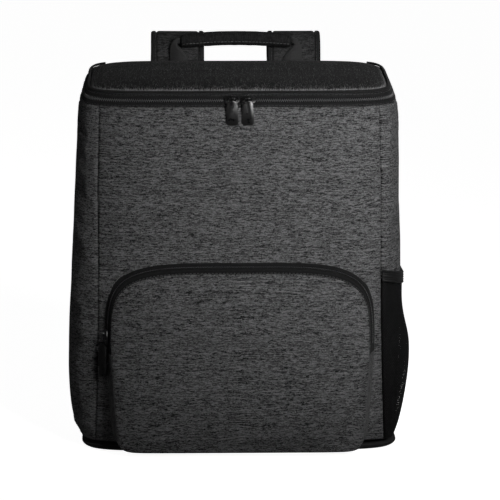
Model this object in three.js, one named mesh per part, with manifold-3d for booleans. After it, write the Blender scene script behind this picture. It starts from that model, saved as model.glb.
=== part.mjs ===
// Cooler backpack: an insulated box of padded panels with a zipped lid, a zipped front pocket,
// a net side pocket, two padded shoulder straps and a grab handle.
// Millimetres, +Z up. The origin is the middle of the flat underside, and the front faces -Y.
import * as THREE from "three";
import { mergeVertices } from "three/addons/utils/BufferGeometryUtils.js";
import Module from "manifold-3d";

// Body
const BODY_WIDTH = 345; // widest, across the side panels
const BODY_DEPTH = 190; // deepest, front panel to back panel
const FRONT_HEIGHT = 347.5; // floor to the lower edge of the lid zip at the front
const LID_RISE = 18; // how much higher that edge lies at the back
const CORNER_POWER = 6; // how square the plan outline is: 2 is an oval
const WALL = 5; // padded panels
const GAP = 0.3; // running gap between neighbouring pieces
const SEAM_INSET_TOP = 33; // from the body's widest line in to the front and back seams, at the lid
const SEAM_INSET_FOOT = 24; // and at the base
const SIDE_DENT = 11.5; // the net pocket pulls the right side panel in

// Base
const BASE_RIM = 10; // height of the turned-up edge
const BASE_RIM_WIDTH = 7.8;
const BASE_BOARD = 6; // thickness of the flat board
const BASE_ROUND = 13; // how far the flat underside stops inside the rim

// Lid
const ZIP_TAPE = 4; // width of each visible half of the lid's zip tape
const ZIP_TAPE_THICK = 1.2;
const ZIP_LEAN = 6; // how far in the zip's upper edge lies from its lower one
const ZIP_CHAIN = 3.4; // width of the closed coils
const ZIP_CHAIN_THICK = 2.4;
const LID_PIPING = 3; // diameter
const LID_SHOULDER = 40; // how far in the rounded edge of the lid reaches
const LID_DOME = 8; // rise of the lid's top over its lower edge
const LID_WALL = 6;

// Front pocket
const POCKET_WIDTH = 270;
const POCKET_TOP = 195; // height of the arch's crown
const POCKET_WAIST = 104; // height where the arch meets the straight sides and the zip ends
const POCKET_FOOT = 9; // height of the lower edge on the body
const POCKET_DEPTH = 34; // how far the lower edge stands out
const POCKET_PUFF = 8; // extra swell of the face over its edge
const POCKET_BAND_SIDE = 7; // how far the face's edge lies inside the pocket's outline at the sides
const POCKET_BAND_TOP = 11; // and at the crown
const POCKET_HANG = 2.5; // how much lower than the outline the face's lower edge hangs
const POCKET_TAPER = 7; // narrowing of each side at the foot
const POCKET_ARCH_POWER = 4.5;
const POCKET_FOOT_POWER = 20;
const POCKET_FABRIC = 2.5;
const POCKET_CROWN_POWER = 4; // how full the face's swell stays towards its edge

// Side pocket
const SIDE_POCKET_HEIGHT = 172; // height of the net's upper edge at the seams
const SIDE_POCKET_SAG = 8; // how much lower that edge is in the middle
const SIDE_POCKET_BELLY = 11; // how far the net stands off the side panel
const SIDE_POCKET_MOUTH = 4; // how far the elastic stands off
const SIDE_POCKET_FULLNESS = 0.7; // below 1, the net stands off close to its seams too
const SIDE_POCKET_ROUND = 0.8; // the lower, the sooner the net stands off above its foot
const NET_THICK = 1.2;
const ELASTIC_WIDTH = 12;
const ELASTIC_THICK = 1.6;

// Shoulder straps
const STRAP_TOP = 409; // height of the crest
const STRAP_REACH = 42; // how far a strap stands off behind the back
const STRAP_GAUGE = 61; // from the middle to each strap at the top
const STRAP_SPLAY = 34; // how much further out the lower end lies
const STRAP_WIDTH = 45; // without its bindings
const STRAP_THICK = 8;
const STRAP_TAPER = 0.2; // share of its width that a strap loses at its lower end
const STRAP_TAPER_FROM = 0.55; // share of its length where that begins
const STRAP_EDGE = 0.12; // share of the half width that the softened edge takes
const BINDING_WIDTH = 6;
const BINDING_PROUD = 0.8; // how much thicker the binding is than the strap
const YOKE_WIDTH = 196;
const YOKE_HEIGHT = 24;
const YOKE_TOP = 352;
const YOKE_THICK = 12;
const YOKE_EDGE_THICK = 9; // along its upper and lower seams
const YOKE_END_THICK = 5;
const YOKE_END_TAPER = 8; // length over which the ends thin out

// Webbing and strap adjusters
const WEBBING_WIDTH = 25;
const WEBBING_THICK = 1.4;
const ADJUSTER_WIDTH = 33;
const ADJUSTER_BAR = 3;
const ADJUSTER_SLOT = 4.6;
const ADJUSTER_THICK = 4;
const TAIL_LENGTH = 95; // free end of the lower webbing
const ANCHOR_HEIGHT = 34; // where the lower webbing meets the back
const ANCHOR_INSET = 14; // from the back panel's side seam
const ANCHOR_TAB = 30; // height of the sewn triangle
const ANCHOR_TAB_THICK = 3;

// Grab handle
const HANDLE_LENGTH = 117;
const HANDLE_ROLL = 15; // diameter of the padded grip
const HANDLE_TOP = 411;
const HANDLE_ARCH = 3; // how much the middle of the grip rises over its ends
const HANDLE_LEG_WIDTH = 23;
const HANDLE_LEG_THICK = 2;
const HANDLE_LEG_GAUGE = 52; // from the middle to each leg at the yoke
const HANDLE_BEND = 5.5; // radius of the turn from the grip into a leg
const HANDLE_STUB = 0.5; // straight bit between the grip and that turn
const HANDLE_NECK_WIDTH = 5.5; // of a leg in the turn
const HANDLE_NECK_END = 0.35; // share of a leg's length where it starts to widen
const HANDLE_SPREAD_END = 0.75; // and where it has its full width
const HANDLE_END_TAPER = 0.12; // share of its thickness that the grip loses at its ends

// Zip sliders and pullers
const SLIDER_LENGTH = 15;
const SLIDER_WIDTH = 8;
const SLIDER_PLATE = 1.6;
const BRIDGE_SPAN = 9;
const BRIDGE_ROOM = 3.1; // clear height under the bridge
const BRIDGE_BAR = 1.5;
const BRIDGE_WIDTH = 2;
const RING_WIRE = 1.1;
const RING_RADIUS = 3; // to the middle of the wire
const PULLER_NECK = 0.6; // width of a puller's tab at its ring, as a share of its upper width
const PULLER_CHAMFER = 0.2; // as a share of its lower width
const LID_SLIDER_GAUGE = 7.8; // from the middle to each lid slider
const LID_PULLER_TOP_WIDTH = 10.5;
const LID_PULLER_FOOT_WIDTH = 13;
const LID_PULLER_LENGTH = 24;
const PULLER_THICK = 2;
const POCKET_PULLER_WIDTH = 10;
const POCKET_PULLER_LENGTH = 32;
const POCKET_PULLER_TWIST = 30; // degrees that the tab is turned towards the front
const POCKET_SLIDER_TURN = 176.5; // degrees round the pocket's outline, from its right side

// Steps of the faceted surfaces
const TURN_STEPS = 44;
const PANEL_ROWS = 11;
const SIDE_COLUMNS = 12;
const ROW_CROWDING = 1.5; // above 1, rows crowd to the base
const POCKET_STEPS = 44;
const CORNER_CROWDING = 0.6; // below 1, steps crowd into the corners
const ZIP_STEPS = 40;
const HINGE_STEPS = 8;
const PIPING_SIDES = 6;
const POCKET_BAND_STEPS = POCKET_STEPS / 2;
const NET_ROWS = 9;
const STRAP_STEPS = 30;
const STRAP_ROOT_STEPS = 4; // steps in which a binding comes level with its strap
const WEBBING_STEPS = 10;
const TAIL_STEPS = 8;
const YOKE_COLUMNS = 16;
const YOKE_ROWS = 4;
const GRIP_STEPS = 12;
const GRIP_SIDES = 10;
const BEND_STEPS = 4;
const RING_STEPS = 14;
const RING_SIDES = 6;

// Width and depth of the body as shares of BODY_WIDTH and BODY_DEPTH, and the right side's dent as a
// share of SIDE_DENT, from the base to the zip
const BODY_SECTIONS = [
  { share: 0, width: 0.94, depth: 0.95, dent: 0 },
  { share: 0.05, width: 0.974, depth: 0.978, dent: 0.5 },
  { share: 0.14, width: 0.996, depth: 0.994, dent: 1 },
  { share: 0.26, width: 1, depth: 1, dent: 0.92 },
  { share: 0.5, width: 0.978, depth: 0.995, dent: 0.42 },
  { share: 0.75, width: 0.95, depth: 0.983, dent: 0 },
  { share: 1, width: 0.916, depth: 0.96, dent: 0 },
];

// Section of the base board's edge, from its top down: inset as a share of BASE_ROUND, height as a
// share of BASE_BOARD
const BASE_PROFILE = [
  { inset: 0.1, height: 1 },
  { inset: 0.15, height: 0.67 },
  { inset: 0.5, height: 0.17 },
  { inset: 1, height: 0 },
];

// Top of the lid: inset as a share of LID_SHOULDER, lift as a share of LID_DOME
const LID_PROFILE = [
  { inset: 0, lift: 0.22 },
  { inset: 0.05, lift: 0.45 },
  { inset: 0.18, lift: 0.62 },
  { inset: 0.45, lift: 0.76 },
  { inset: 1, lift: 0.92 },
];

// How far the edge of the pocket's face stands out, as a share of POCKET_DEPTH, from foot to crown
const POCKET_EDGE = [
  { share: 0, depth: 1 },
  { share: 0.25, depth: 0.92 },
  { share: 0.55, depth: 0.68 },
  { share: 1, depth: 0.5 },
];

// Rings of the pocket's face, as shares of the way from its middle to its edge
const POCKET_RINGS = [0.3, 0.62, 0.86, 1];

// Middle line of a shoulder strap: height as a share of STRAP_TOP, stand-off of STRAP_REACH, splay of
// STRAP_SPLAY
const STRAP_LINE = [
  { height: 0.86, behind: 0, splay: 0 },
  { height: 0.91, behind: 0.01, splay: 0 },
  { height: 0.955, behind: 0.07, splay: 0 },
  { height: 0.98, behind: 0.22, splay: 0 },
  { height: 0.99, behind: 0.46, splay: 0 },
  { height: 0.977, behind: 0.73, splay: 0 },
  { height: 0.935, behind: 0.92, splay: 0.01 },
  { height: 0.81, behind: 1, splay: 0.08 },
  { height: 0.62, behind: 0.93, splay: 0.34 },
  { height: 0.46, behind: 0.74, splay: 0.7 },
  { height: 0.34, behind: 0.5, splay: 1 },
];

// Free end of the lower webbing: outward, towards the back panel and down, as shares of TAIL_LENGTH
const TAIL_LINE = [
  { outward: 0, inward: 0, down: 0 },
  { outward: 0.06, inward: 0.02, down: 0.45 },
  { outward: 0.08, inward: 0.05, down: 1 },
];

// Lower corners of the sewn tab, from the end of the webbing: outward as a share of the way to the side
// seam, down as a share of ANCHOR_TAB
const ANCHOR_CORNERS = [
  { outward: 1, down: 0.45 },
  { outward: 1, down: 0.8 },
  { outward: -0.56, down: 0.7 },
];

// One side of a slider's plate, as shares of its half length and half width
const SLIDER_EDGE = [
  { along: -1, across: 0.7 },
  { along: -0.7, across: 1 },
  { along: 0.5, across: 1 },
  { along: 1, across: 0.55 },
];

const wasm = await Module();
wasm.setup();

const heather = new THREE.MeshStandardMaterial({ color: 0x3c3c3d, roughness: 0.9 });
const lidCloth = new THREE.MeshStandardMaterial({ color: 0x2c2c2d, roughness: 0.8 });
const blackCloth = new THREE.MeshStandardMaterial({ color: 0x121213, roughness: 0.85 });
const zipCoil = new THREE.MeshStandardMaterial({ color: 0x1a1a1b, roughness: 0.45 });
const netting = new THREE.MeshStandardMaterial({ color: 0x0c0c0d, roughness: 0.7 });
const webbing = new THREE.MeshStandardMaterial({ color: 0x101011, roughness: 0.7 });
const hardBlack = new THREE.MeshStandardMaterial({ color: 0x0b0b0c, roughness: 0.35, metalness: 0.2 });

const part = new THREE.Group();

function addPiece(name, geometry, material, parent = part) {
  const mesh = new THREE.Mesh(geometry, material);
  mesh.name = name;
  parent.add(mesh);
  return mesh;
}

// Value of one column of a table at a share, on a smooth curve through the rows.
function columnAt(table, column, share) {
  let i = 0;
  while (i < table.length - 2 && share > table[i + 1].share) i++;
  const [before, a, b, after] = [-1, 0, 1, 2].map(
    (k) => table[THREE.MathUtils.clamp(i + k, 0, table.length - 1)],
  );
  const span = b.share - a.share;
  const slopeA = (b[column] - before[column]) / (b.share - before.share);
  const slopeB = (after[column] - a[column]) / (after.share - a.share);
  const t = THREE.MathUtils.clamp((share - a.share) / span, 0, 1);
  const rise = b[column] - a[column];
  return (
    a[column] +
    rise * t * t * (3 - 2 * t) +
    span * t * (1 - t) * (slopeA * (1 - t) - slopeB * t)
  );
}

// A closed body from its corners and triangles, turned so that its faces point out.
function closedGeometry(points, triangles) {
  let volume = 0;
  for (const [a, b, c] of triangles) {
    volume += points[a].dot(points[b].clone().cross(points[c]));
  }
  const facing = volume > 0 ? triangles : triangles.map(([a, b, c]) => [a, c, b]);
  const geometry = new THREE.BufferGeometry().setFromPoints(points);
  geometry.setIndex(facing.flat());
  geometry.computeVertexNormals();
  return geometry;
}

// A closed body through a row of rings with as many points each, with a fan over both ends.
function loft(rings) {
  const count = rings[0].length;
  const points = rings.flat();
  const triangles = [];
  for (let r = 0; r < rings.length - 1; r++) {
    for (let k = 0; k < count; k++) {
      const a = r * count + k;
      const b = r * count + ((k + 1) % count);
      triangles.push([a, b, b + count], [a, b + count, a + count]);
    }
  }
  for (const [ring, flip] of [[0, false], [rings.length - 1, true]]) {
    const middle = rings[ring].reduce((sum, p) => sum.add(p), new THREE.Vector3());
    points.push(middle.divideScalar(count));
    for (let k = 0; k < count; k++) {
      const a = ring * count + k;
      const b = ring * count + ((k + 1) % count);
      triangles.push(flip ? [a, b, points.length - 1] : [b, a, points.length - 1]);
    }
  }
  return closedGeometry(points, triangles);
}

// A sheet with thickness. pointAt(u, v, layer) gives its outer layer at 0 and its inner one at 1.
function sheet(pointAt, columns, rows) {
  const rings = [];
  for (let c = 0; c <= columns; c++) {
    const outer = [];
    const inner = [];
    for (let r = 0; r <= rows; r++) {
      outer.push(pointAt(c / columns, r / rows, 0));
      inner.unshift(pointAt(c / columns, r / rows, 1));
    }
    rings.push([...outer, ...inner]);
  }
  const count = 2 * (rows + 1);
  const points = rings.flat();
  const triangles = [];
  for (let c = 0; c < columns; c++) {
    for (let k = 0; k < count; k++) {
      const a = c * count + k;
      const b = c * count + ((k + 1) % count);
      triangles.push([a, b, b + count], [a, b + count, a + count]);
    }
  }
  for (const [c, flip] of [[0, false], [columns, true]]) {
    for (let r = 0; r < rows; r++) {
      const a = c * count + r;
      const b = c * count + count - 1 - r;
      const quad = [[a, b, b - 1], [a, b - 1, a + 1]];
      triangles.push(...(flip ? quad.map(([p, q, s]) => [p, s, q]) : quad));
    }
  }
  return closedGeometry(points, triangles);
}

// The body's plan at a share of its height.
function sectionAt(share) {
  return {
    a: (BODY_WIDTH / 2) * columnAt(BODY_SECTIONS, "width", share),
    b: (BODY_DEPTH / 2) * columnAt(BODY_SECTIONS, "depth", share),
  };
}

// Distance from the middle to the plan outline in the direction of an angle.
function outlineReach(angle, a, b, power) {
  const across = Math.abs(Math.cos(angle) / a) ** power;
  const along = Math.abs(Math.sin(angle) / b) ** power;
  return (across + along) ** (-1 / power);
}

// The direction that the plan outline faces at one of its points.
function outlineFacing(x, y, a, b) {
  const steep = CORNER_POWER - 1;
  return new THREE.Vector2(
    (Math.sign(x) * Math.abs(x / a) ** steep) / a,
    (Math.sign(y) * Math.abs(y / b) ** steep) / b,
  ).normalize();
}

// A turn runs evenly round the outline and crowds into its corners: 0 is the right side, -90 degrees
// the front.
function turnToAngle(turn, a, b) {
  const x = a * Math.sign(Math.cos(turn)) * Math.abs(Math.cos(turn)) ** CORNER_CROWDING;
  const y = b * Math.sign(Math.sin(turn)) * Math.abs(Math.sin(turn)) ** CORNER_CROWDING;
  return Math.atan2(y, x);
}

// Height of the body's upper edge, which rises to the back.
function rimHeight(y) {
  return FRONT_HEIGHT + (LID_RISE * (y + BODY_DEPTH / 2)) / BODY_DEPTH;
}

const PANEL_FOOT = BASE_RIM + GAP;

function shareAt(z, y) {
  return (z - PANEL_FOOT) / (rimHeight(y) - PANEL_FOOT);
}

// The net pocket's dent in the right side panel, deepest low down and gone at the seams.
function sideDent(x, y, share) {
  if (x <= 0) return 0;
  const fade = Math.max(0, 1 - (y / faceDepth(seamHalfWidth(share), share)) ** 2);
  return SIDE_DENT * fade * columnAt(BODY_SECTIONS, "dent", share);
}

// A point on the body: turn round it, share of its height, inset square to its outer face.
function bodyPoint(turn, share, inset = 0, lift = 0) {
  const { a, b } = sectionAt(share);
  const angle = turnToAngle(turn, a, b);
  const reach = outlineReach(angle, a, b, CORNER_POWER);
  const x = reach * Math.cos(angle);
  const y = reach * Math.sin(angle);
  const facing = outlineFacing(x, y, a, b);
  return new THREE.Vector3(
    x - sideDent(x, y, share) - inset * facing.x,
    y - inset * facing.y,
    PANEL_FOOT + share * (rimHeight(y) - PANEL_FOOT) + lift,
  );
}

// The same for a point of known height.
function bodyPointAtHeight(turn, z, inset) {
  const share = shareAt(z, bodyPoint(turn, 0.5).y);
  const point = bodyPoint(turn, share, inset);
  return point.setZ(z);
}

const FRONT_PANEL_TOP_WIDTH = BODY_WIDTH - 2 * SEAM_INSET_TOP;
const FRONT_PANEL_FOOT_WIDTH = BODY_WIDTH - 2 * SEAM_INSET_FOOT;

function seamHalfWidth(share) {
  return THREE.MathUtils.lerp(FRONT_PANEL_FOOT_WIDTH, FRONT_PANEL_TOP_WIDTH, share) / 2;
}

// The front and back faces of the body as depths over x and share.
function faceDepth(x, share) {
  const { a, b } = sectionAt(share);
  const across = Math.min(Math.abs(x) / a, 1) ** CORNER_POWER;
  return b * (1 - across) ** (1 / CORNER_POWER);
}

// The turn at which the side panels meet the front and back panels.
function seamTurn(share) {
  const { a, b } = sectionAt(share);
  const x = seamHalfWidth(share) + GAP;
  const y = faceDepth(x, share);
  const power = 1 / CORNER_CROWDING;
  return Math.atan2((y / b) ** power, (x / a) ** power);
}

// Front and back panels: side is -1 at the front and 1 at the back.
function facePanel(side, columns) {
  return sheet(
    (u, v, layer) => {
      const share = v ** ROW_CROWDING;
      const { a, b } = sectionAt(share);
      const x = (2 * u - 1) * seamHalfWidth(share);
      const y = side * faceDepth(x, share);
      const facing = outlineFacing(x, y, a, b);
      return new THREE.Vector3(
        x - layer * WALL * facing.x,
        y - layer * WALL * facing.y,
        PANEL_FOOT + share * (rimHeight(y) - PANEL_FOOT),
      );
    },
    columns,
    PANEL_ROWS,
  );
}

// Side panels: start is the middle turn, 0 on the right and 180 degrees on the left.
function sidePanel(start) {
  return sheet(
    (u, v, layer) => {
      const share = v ** ROW_CROWDING;
      return bodyPoint(start + (2 * u - 1) * seamTurn(share), share, layer * WALL);
    },
    SIDE_COLUMNS,
    PANEL_ROWS,
  );
}

// A whole ring round the body, at a share of its height and inset from the outline there.
function bodyRing(share, inset, heightAt) {
  const { a, b } = sectionAt(share);
  return Array.from({ length: TURN_STEPS }, (_, k) => {
    const angle = turnToAngle((2 * Math.PI * k) / TURN_STEPS, a, b);
    const reach = outlineReach(angle, a - inset, b - inset, CORNER_POWER);
    const y = reach * Math.sin(angle);
    return new THREE.Vector3(reach * Math.cos(angle), y, heightAt(y));
  });
}

function basePanel() {
  const ringAt = (inset, z) => bodyRing(0, inset, () => z);
  return loft([
    ringAt(BODY_DEPTH / 4, BASE_BOARD),
    ...BASE_PROFILE.map((row) => ringAt(row.inset * BASE_ROUND, row.height * BASE_BOARD)),
  ]);
}

// The turned-up edge that runs round on the board.
// One of the rim's four strips, from corner to corner.
function baseRim(side) {
  const { a, b } = sectionAt(0);
  const steps = TURN_STEPS / 4;
  const foot = BASE_BOARD + GAP;
  const trim = GAP / 2 / Math.hypot(a, b);
  const sectionOf = (_, k) => {
    const turn = ((side + k / steps - 0.5) * Math.PI) / 2;
    const shift = k === 0 ? trim : k === steps ? -trim : 0;
    const angle = turnToAngle(turn, a, b) + shift;
    const pointAt = (inset, z) => {
      const reach = outlineReach(angle, a - inset, b - inset, CORNER_POWER);
      return new THREE.Vector3(reach * Math.cos(angle), reach * Math.sin(angle), z);
    };
    return [
      pointAt(BASE_RIM_WIDTH, foot),
      pointAt(BASE_PROFILE[0].inset * BASE_ROUND, foot),
      pointAt(0, BASE_RIM),
      pointAt(BASE_RIM_WIDTH, BASE_RIM),
    ];
  };
  return loft(Array.from({ length: steps + 1 }, sectionOf));
}

const ZIP_HEIGHT = GAP + 2 * ZIP_TAPE + ZIP_CHAIN + 2 * GAP; // from the panels to the zip's upper edge
const PIPING_LIFT = ZIP_HEIGHT + GAP + LID_PIPING / 2;
// From the body's outline to the lid's, which lies inside the piping.
const LID_INSET = (ZIP_LEAN * (PIPING_LIFT + LID_PIPING / 2)) / ZIP_HEIGHT + LID_PIPING / 2 + GAP;

function lidPanel() {
  const edge = ZIP_HEIGHT + GAP;
  const ringAt = (inset, lift) => bodyRing(1, inset, (y) => rimHeight(y) + lift);
  const top = LID_PROFILE.map((row) =>
    ringAt(LID_INSET + row.inset * LID_SHOULDER, edge + row.lift * LID_DOME),
  ).reverse();
  const crown = ringAt(BODY_DEPTH / 2 - LID_SHOULDER / 2, edge + LID_DOME);
  const underside = [
    ringAt(LID_INSET, edge),
    ringAt(LID_INSET + WALL, edge),
    ringAt(LID_INSET + LID_SHOULDER, edge + LID_DOME - LID_WALL),
  ];
  return loft([crown, ...top, ...underside]);
}

// A strip along the body's upper edge, leaning in with the zip. Corners are [inset, lift] pairs, from
// one turn to another.
function rimStrip(corners, from, to, steps) {
  const lean = ZIP_LEAN / ZIP_HEIGHT;
  const rings = Array.from({ length: steps + 1 }, (_, k) => {
    const turn = THREE.MathUtils.lerp(from, to, k / steps);
    return corners.map(([inset, lift]) => bodyPoint(turn, 1, inset + lean * lift, lift));
  });
  return loft(rings);
}

function rectangle(insetOuter, insetInner, low, high) {
  return [
    [insetOuter, low],
    [insetOuter, high],
    [insetInner, high],
    [insetInner, low],
  ];
}

function roundSection(inset, lift, radius, sides) {
  return Array.from({ length: sides }, (_, k) => {
    const angle = (2 * Math.PI * (k + 0.5)) / sides;
    return [inset + radius * Math.cos(angle), lift + radius * Math.sin(angle)];
  });
}

const RIM_SEAM = seamTurn(1);
const ZIP_FROM = -Math.PI - RIM_SEAM; // from the left back seam, round the front
const ZIP_TO = RIM_SEAM; // to the right back seam
const CHAIN_LOW = GAP + ZIP_TAPE + GAP;
const CHAIN_HIGH = CHAIN_LOW + ZIP_CHAIN;
const CHAIN_PROUD = (ZIP_CHAIN_THICK - ZIP_TAPE_THICK) / 2;

function addLid() {
  const tape = (low, high) => rectangle(0, ZIP_TAPE_THICK, low, high);
  const coil = rectangle(-CHAIN_PROUD, ZIP_TAPE_THICK + CHAIN_PROUD, CHAIN_LOW, CHAIN_HIGH);
  const piping = roundSection(0, PIPING_LIFT, LID_PIPING / 2, PIPING_SIDES);
  const alongZip = (corners) => rimStrip(corners, ZIP_FROM, ZIP_TO, ZIP_STEPS);
  addPiece("lid_panel", lidPanel(), lidCloth);
  addPiece("lid_zip_lower_tape", alongZip(tape(GAP, GAP + ZIP_TAPE)), blackCloth);
  addPiece("lid_zip_chain", alongZip(coil), zipCoil);
  addPiece("lid_zip_upper_tape", alongZip(tape(CHAIN_HIGH + GAP, ZIP_HEIGHT)), blackCloth);
  addPiece("lid_piping", alongZip(piping), blackCloth);
  // The cloth hinge closes the stretch between the two ends of the zip.
  const ends = GAP / sectionAt(1).b;
  const hinge = rimStrip(tape(GAP, ZIP_HEIGHT), ZIP_TO + ends, Math.PI - RIM_SEAM - ends, HINGE_STEPS);
  addPiece("lid_hinge", hinge, blackCloth);
}

// Front pocket
const POCKET_RISE = POCKET_TOP - POCKET_WAIST;
const POCKET_DROP = POCKET_WAIST - POCKET_FOOT;

function frontFaceY(x, z) {
  const share = THREE.MathUtils.clamp(shareAt(z, -BODY_DEPTH / 2), 0, 1);
  return -faceDepth(x, share);
}

// A point of the pocket's outline at an angle. Across runs from 0 on that outline to 1 at the face's
// edge, inset is measured square to it, scale is towards the middle and depthAt is how far it stands out.
function pocketPoint(angle, across, inset, scale, depthAt) {
  const upper = Math.sin(angle) >= 0;
  const power = upper ? POCKET_ARCH_POWER : POCKET_FOOT_POWER;
  const half = POCKET_WIDTH / 2 - across * POCKET_BAND_SIDE - inset;
  const rise = upper
    ? POCKET_RISE - across * POCKET_BAND_TOP - inset
    : POCKET_DROP + across * POCKET_HANG - inset;
  const crowded = turnToAngle(angle, half, rise);
  const reach = outlineReach(crowded, half, rise, power) * scale;
  const down = Math.max(0, -(reach * Math.sin(crowded)) / POCKET_DROP);
  const x = reach * Math.cos(crowded) * (1 - ((2 * POCKET_TAPER) / POCKET_WIDTH) * down);
  const z = POCKET_WAIST + reach * Math.sin(crowded);
  return new THREE.Vector3(x, frontFaceY(x, z) - GAP - depthAt(z), z);
}

function pocketEdgeDepth(z) {
  const share = (z - POCKET_FOOT) / (POCKET_TOP - POCKET_FOOT);
  return POCKET_DEPTH * columnAt(POCKET_EDGE, "depth", share);
}

// A strip of the slanting band between the body and the pocket's face.
function pocketStrip(from, to, steps, acrossLow, acrossHigh, thickness, proud = 0) {
  return sheet(
    (u, v, layer) => {
      const angle = THREE.MathUtils.lerp(from, to, u);
      const across = THREE.MathUtils.lerp(acrossLow, acrossHigh, v);
      const inset = layer * thickness - (1 - layer) * proud;
      return pocketPoint(angle, across, inset, 1, (z) => across * pocketEdgeDepth(z));
    },
    steps,
    1,
  );
}

function pocketPanel() {
  const ringAt = (scale, back) =>
    Array.from({ length: POCKET_STEPS }, (_, k) =>
      pocketPoint((2 * Math.PI * k) / POCKET_STEPS, 1, 0, scale, (z) => {
        return pocketEdgeDepth(z) + GAP + POCKET_PUFF * (1 - scale ** POCKET_CROWN_POWER) - back;
      }),
    );
  const outer = POCKET_RINGS.map((scale) => ringAt(scale, 0));
  const inner = POCKET_RINGS.map((scale) => ringAt(scale, POCKET_FABRIC)).reverse();
  outer[outer.length - 1] = ringAt(1, -POCKET_FABRIC);
  inner[0] = ringAt(1, 0);
  return loft([...outer, ...inner]);
}

const POCKET_SPLIT = (GAP / POCKET_DROP) ** (1 / CORNER_CROWDING); // the turn that leaves a running gap
const POCKET_TAPE_SHARE = 0.37; // share of the band's width that each half of the tape covers
const POCKET_CHAIN_LOW = 0.4;
const POCKET_CHAIN_HIGH = 0.6;

function addFrontPocket() {
  const steps = POCKET_BAND_STEPS;
  const zip = (low, high, thick, proud) => pocketStrip(0, Math.PI, steps, low, high, thick, proud);
  addPiece("pocket_panel", pocketPanel(), heather);
  addPiece("pocket_zip_outer_tape", zip(0, POCKET_TAPE_SHARE, ZIP_TAPE_THICK), blackCloth);
  addPiece(
    "pocket_zip_chain",
    zip(POCKET_CHAIN_LOW, POCKET_CHAIN_HIGH, ZIP_TAPE_THICK + CHAIN_PROUD, CHAIN_PROUD),
    zipCoil,
  );
  addPiece("pocket_zip_inner_tape", zip(1 - POCKET_TAPE_SHARE, 1, ZIP_TAPE_THICK), blackCloth);
  addPiece(
    "pocket_gusset",
    pocketStrip(Math.PI + POCKET_SPLIT, 2 * Math.PI - POCKET_SPLIT, steps, 0, 1, POCKET_FABRIC),
    heather,
  );
}

// Net pocket on the right side. Around runs from the front seam to the back seam.
function sidePocketOffset(around, share) {
  const slack = Math.sin(Math.PI * around) ** SIDE_POCKET_FULLNESS;
  const belly = SIDE_POCKET_BELLY * Math.sin(Math.PI * share) ** SIDE_POCKET_ROUND;
  const mouth = THREE.MathUtils.smoothstep(share, 0.6, 1);
  return 3 * GAP + slack * THREE.MathUtils.lerp(belly, SIDE_POCKET_MOUTH, mouth);
}

function sidePocketRim(around) {
  return SIDE_POCKET_HEIGHT - SIDE_POCKET_SAG * Math.sin(Math.PI * around);
}

function sidePocketPoint(around, z, offset) {
  const turn = (2 * around - 1) * seamTurn(shareAt(z, 0));
  return bodyPointAtHeight(turn, z, -offset);
}

function addSidePocket() {
  const net = sheet(
    (u, v, layer) => {
      const share = v ** ROW_CROWDING;
      const z = THREE.MathUtils.lerp(PANEL_FOOT + GAP, sidePocketRim(u), share);
      return sidePocketPoint(u, z, sidePocketOffset(u, share) + (1 - layer) * NET_THICK);
    },
    SIDE_COLUMNS,
    NET_ROWS,
  );
  const elastic = sheet(
    (u, v, layer) => {
      const z = sidePocketRim(u) + GAP + v * ELASTIC_WIDTH;
      return sidePocketPoint(u, z, sidePocketOffset(u, 1) + (1 - layer) * ELASTIC_THICK);
    },
    SIDE_COLUMNS,
    1,
  );
  addPiece("side_pocket_net", net, netting);
  addPiece("side_pocket_elastic", elastic, webbing);
}

// Corners of a band's section, as shares of its half width and half thickness.
const SQUARE_SECTION = [[1, 1], [-1, 1], [-1, -1], [1, -1]];
const SOFT_CORNER = 0.5; // thickness left at a padded band's edge

function paddedSection(edge) {
  const upper = [[1, SOFT_CORNER], [1 - edge, 1], [edge - 1, 1], [-1, SOFT_CORNER]];
  return [...upper, ...upper.map(([w, t]) => [w, -t]).reverse()];
}

// The direction of a line of points at one of them.
function headingAt(points, k) {
  const next = points[Math.min(k + 1, points.length - 1)];
  const last = points[Math.max(k - 1, 0)];
  return next.clone().sub(last).normalize();
}

// What is left of a direction once it is squared to another one.
function squareTo(direction, along) {
  return direction.clone().addScaledVector(along, -direction.dot(along)).normalize();
}

// A flat band along a line of points. Its width lies along the given direction, squared to the line.
function band(points, across, widthAt, thickness, section = SQUARE_SECTION) {
  const rings = points.map((point, k) => {
    const along = headingAt(points, k);
    const side = squareTo(across, along).multiplyScalar(widthAt(k / (points.length - 1)) / 2);
    const normal = along.clone().cross(side).setLength(thickness / 2);
    return section.map(([w, t]) => point.clone().addScaledVector(side, w).addScaledVector(normal, t));
  });
  return loft(rings);
}

function smoothLine(points, steps) {
  return new THREE.CatmullRomCurve3(points, false, "centripetal").getSpacedPoints(steps);
}

function backFaceY(x, z) {
  return faceDepth(x, THREE.MathUtils.clamp(shareAt(z, BODY_DEPTH / 2), 0, 1));
}

// The straps and handle legs come out of the top of this padded band on the back panel.
function addYoke() {
  const geometry = sheet(
    (u, v, layer) => {
      const x = (u - 0.5) * YOKE_WIDTH;
      const z = YOKE_TOP - YOKE_HEIGHT * (1 - v);
      const inside = Math.min(1, (YOKE_WIDTH / 2 - Math.abs(x)) / YOKE_END_TAPER);
      const middle = THREE.MathUtils.lerp(YOKE_EDGE_THICK, YOKE_THICK, Math.sin(Math.PI * v));
      const ends = THREE.MathUtils.lerp(YOKE_END_THICK / YOKE_THICK, 1, inside);
      return new THREE.Vector3(x, backFaceY(x, z) + GAP + (1 - layer) * middle * ends, z);
    },
    YOKE_COLUMNS,
    YOKE_ROWS,
  );
  addPiece("strap_yoke", geometry, heather);
}

const LEG_FACE = GAP + HANDLE_LEG_THICK; // outer face of a handle leg, from the back panel

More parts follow.
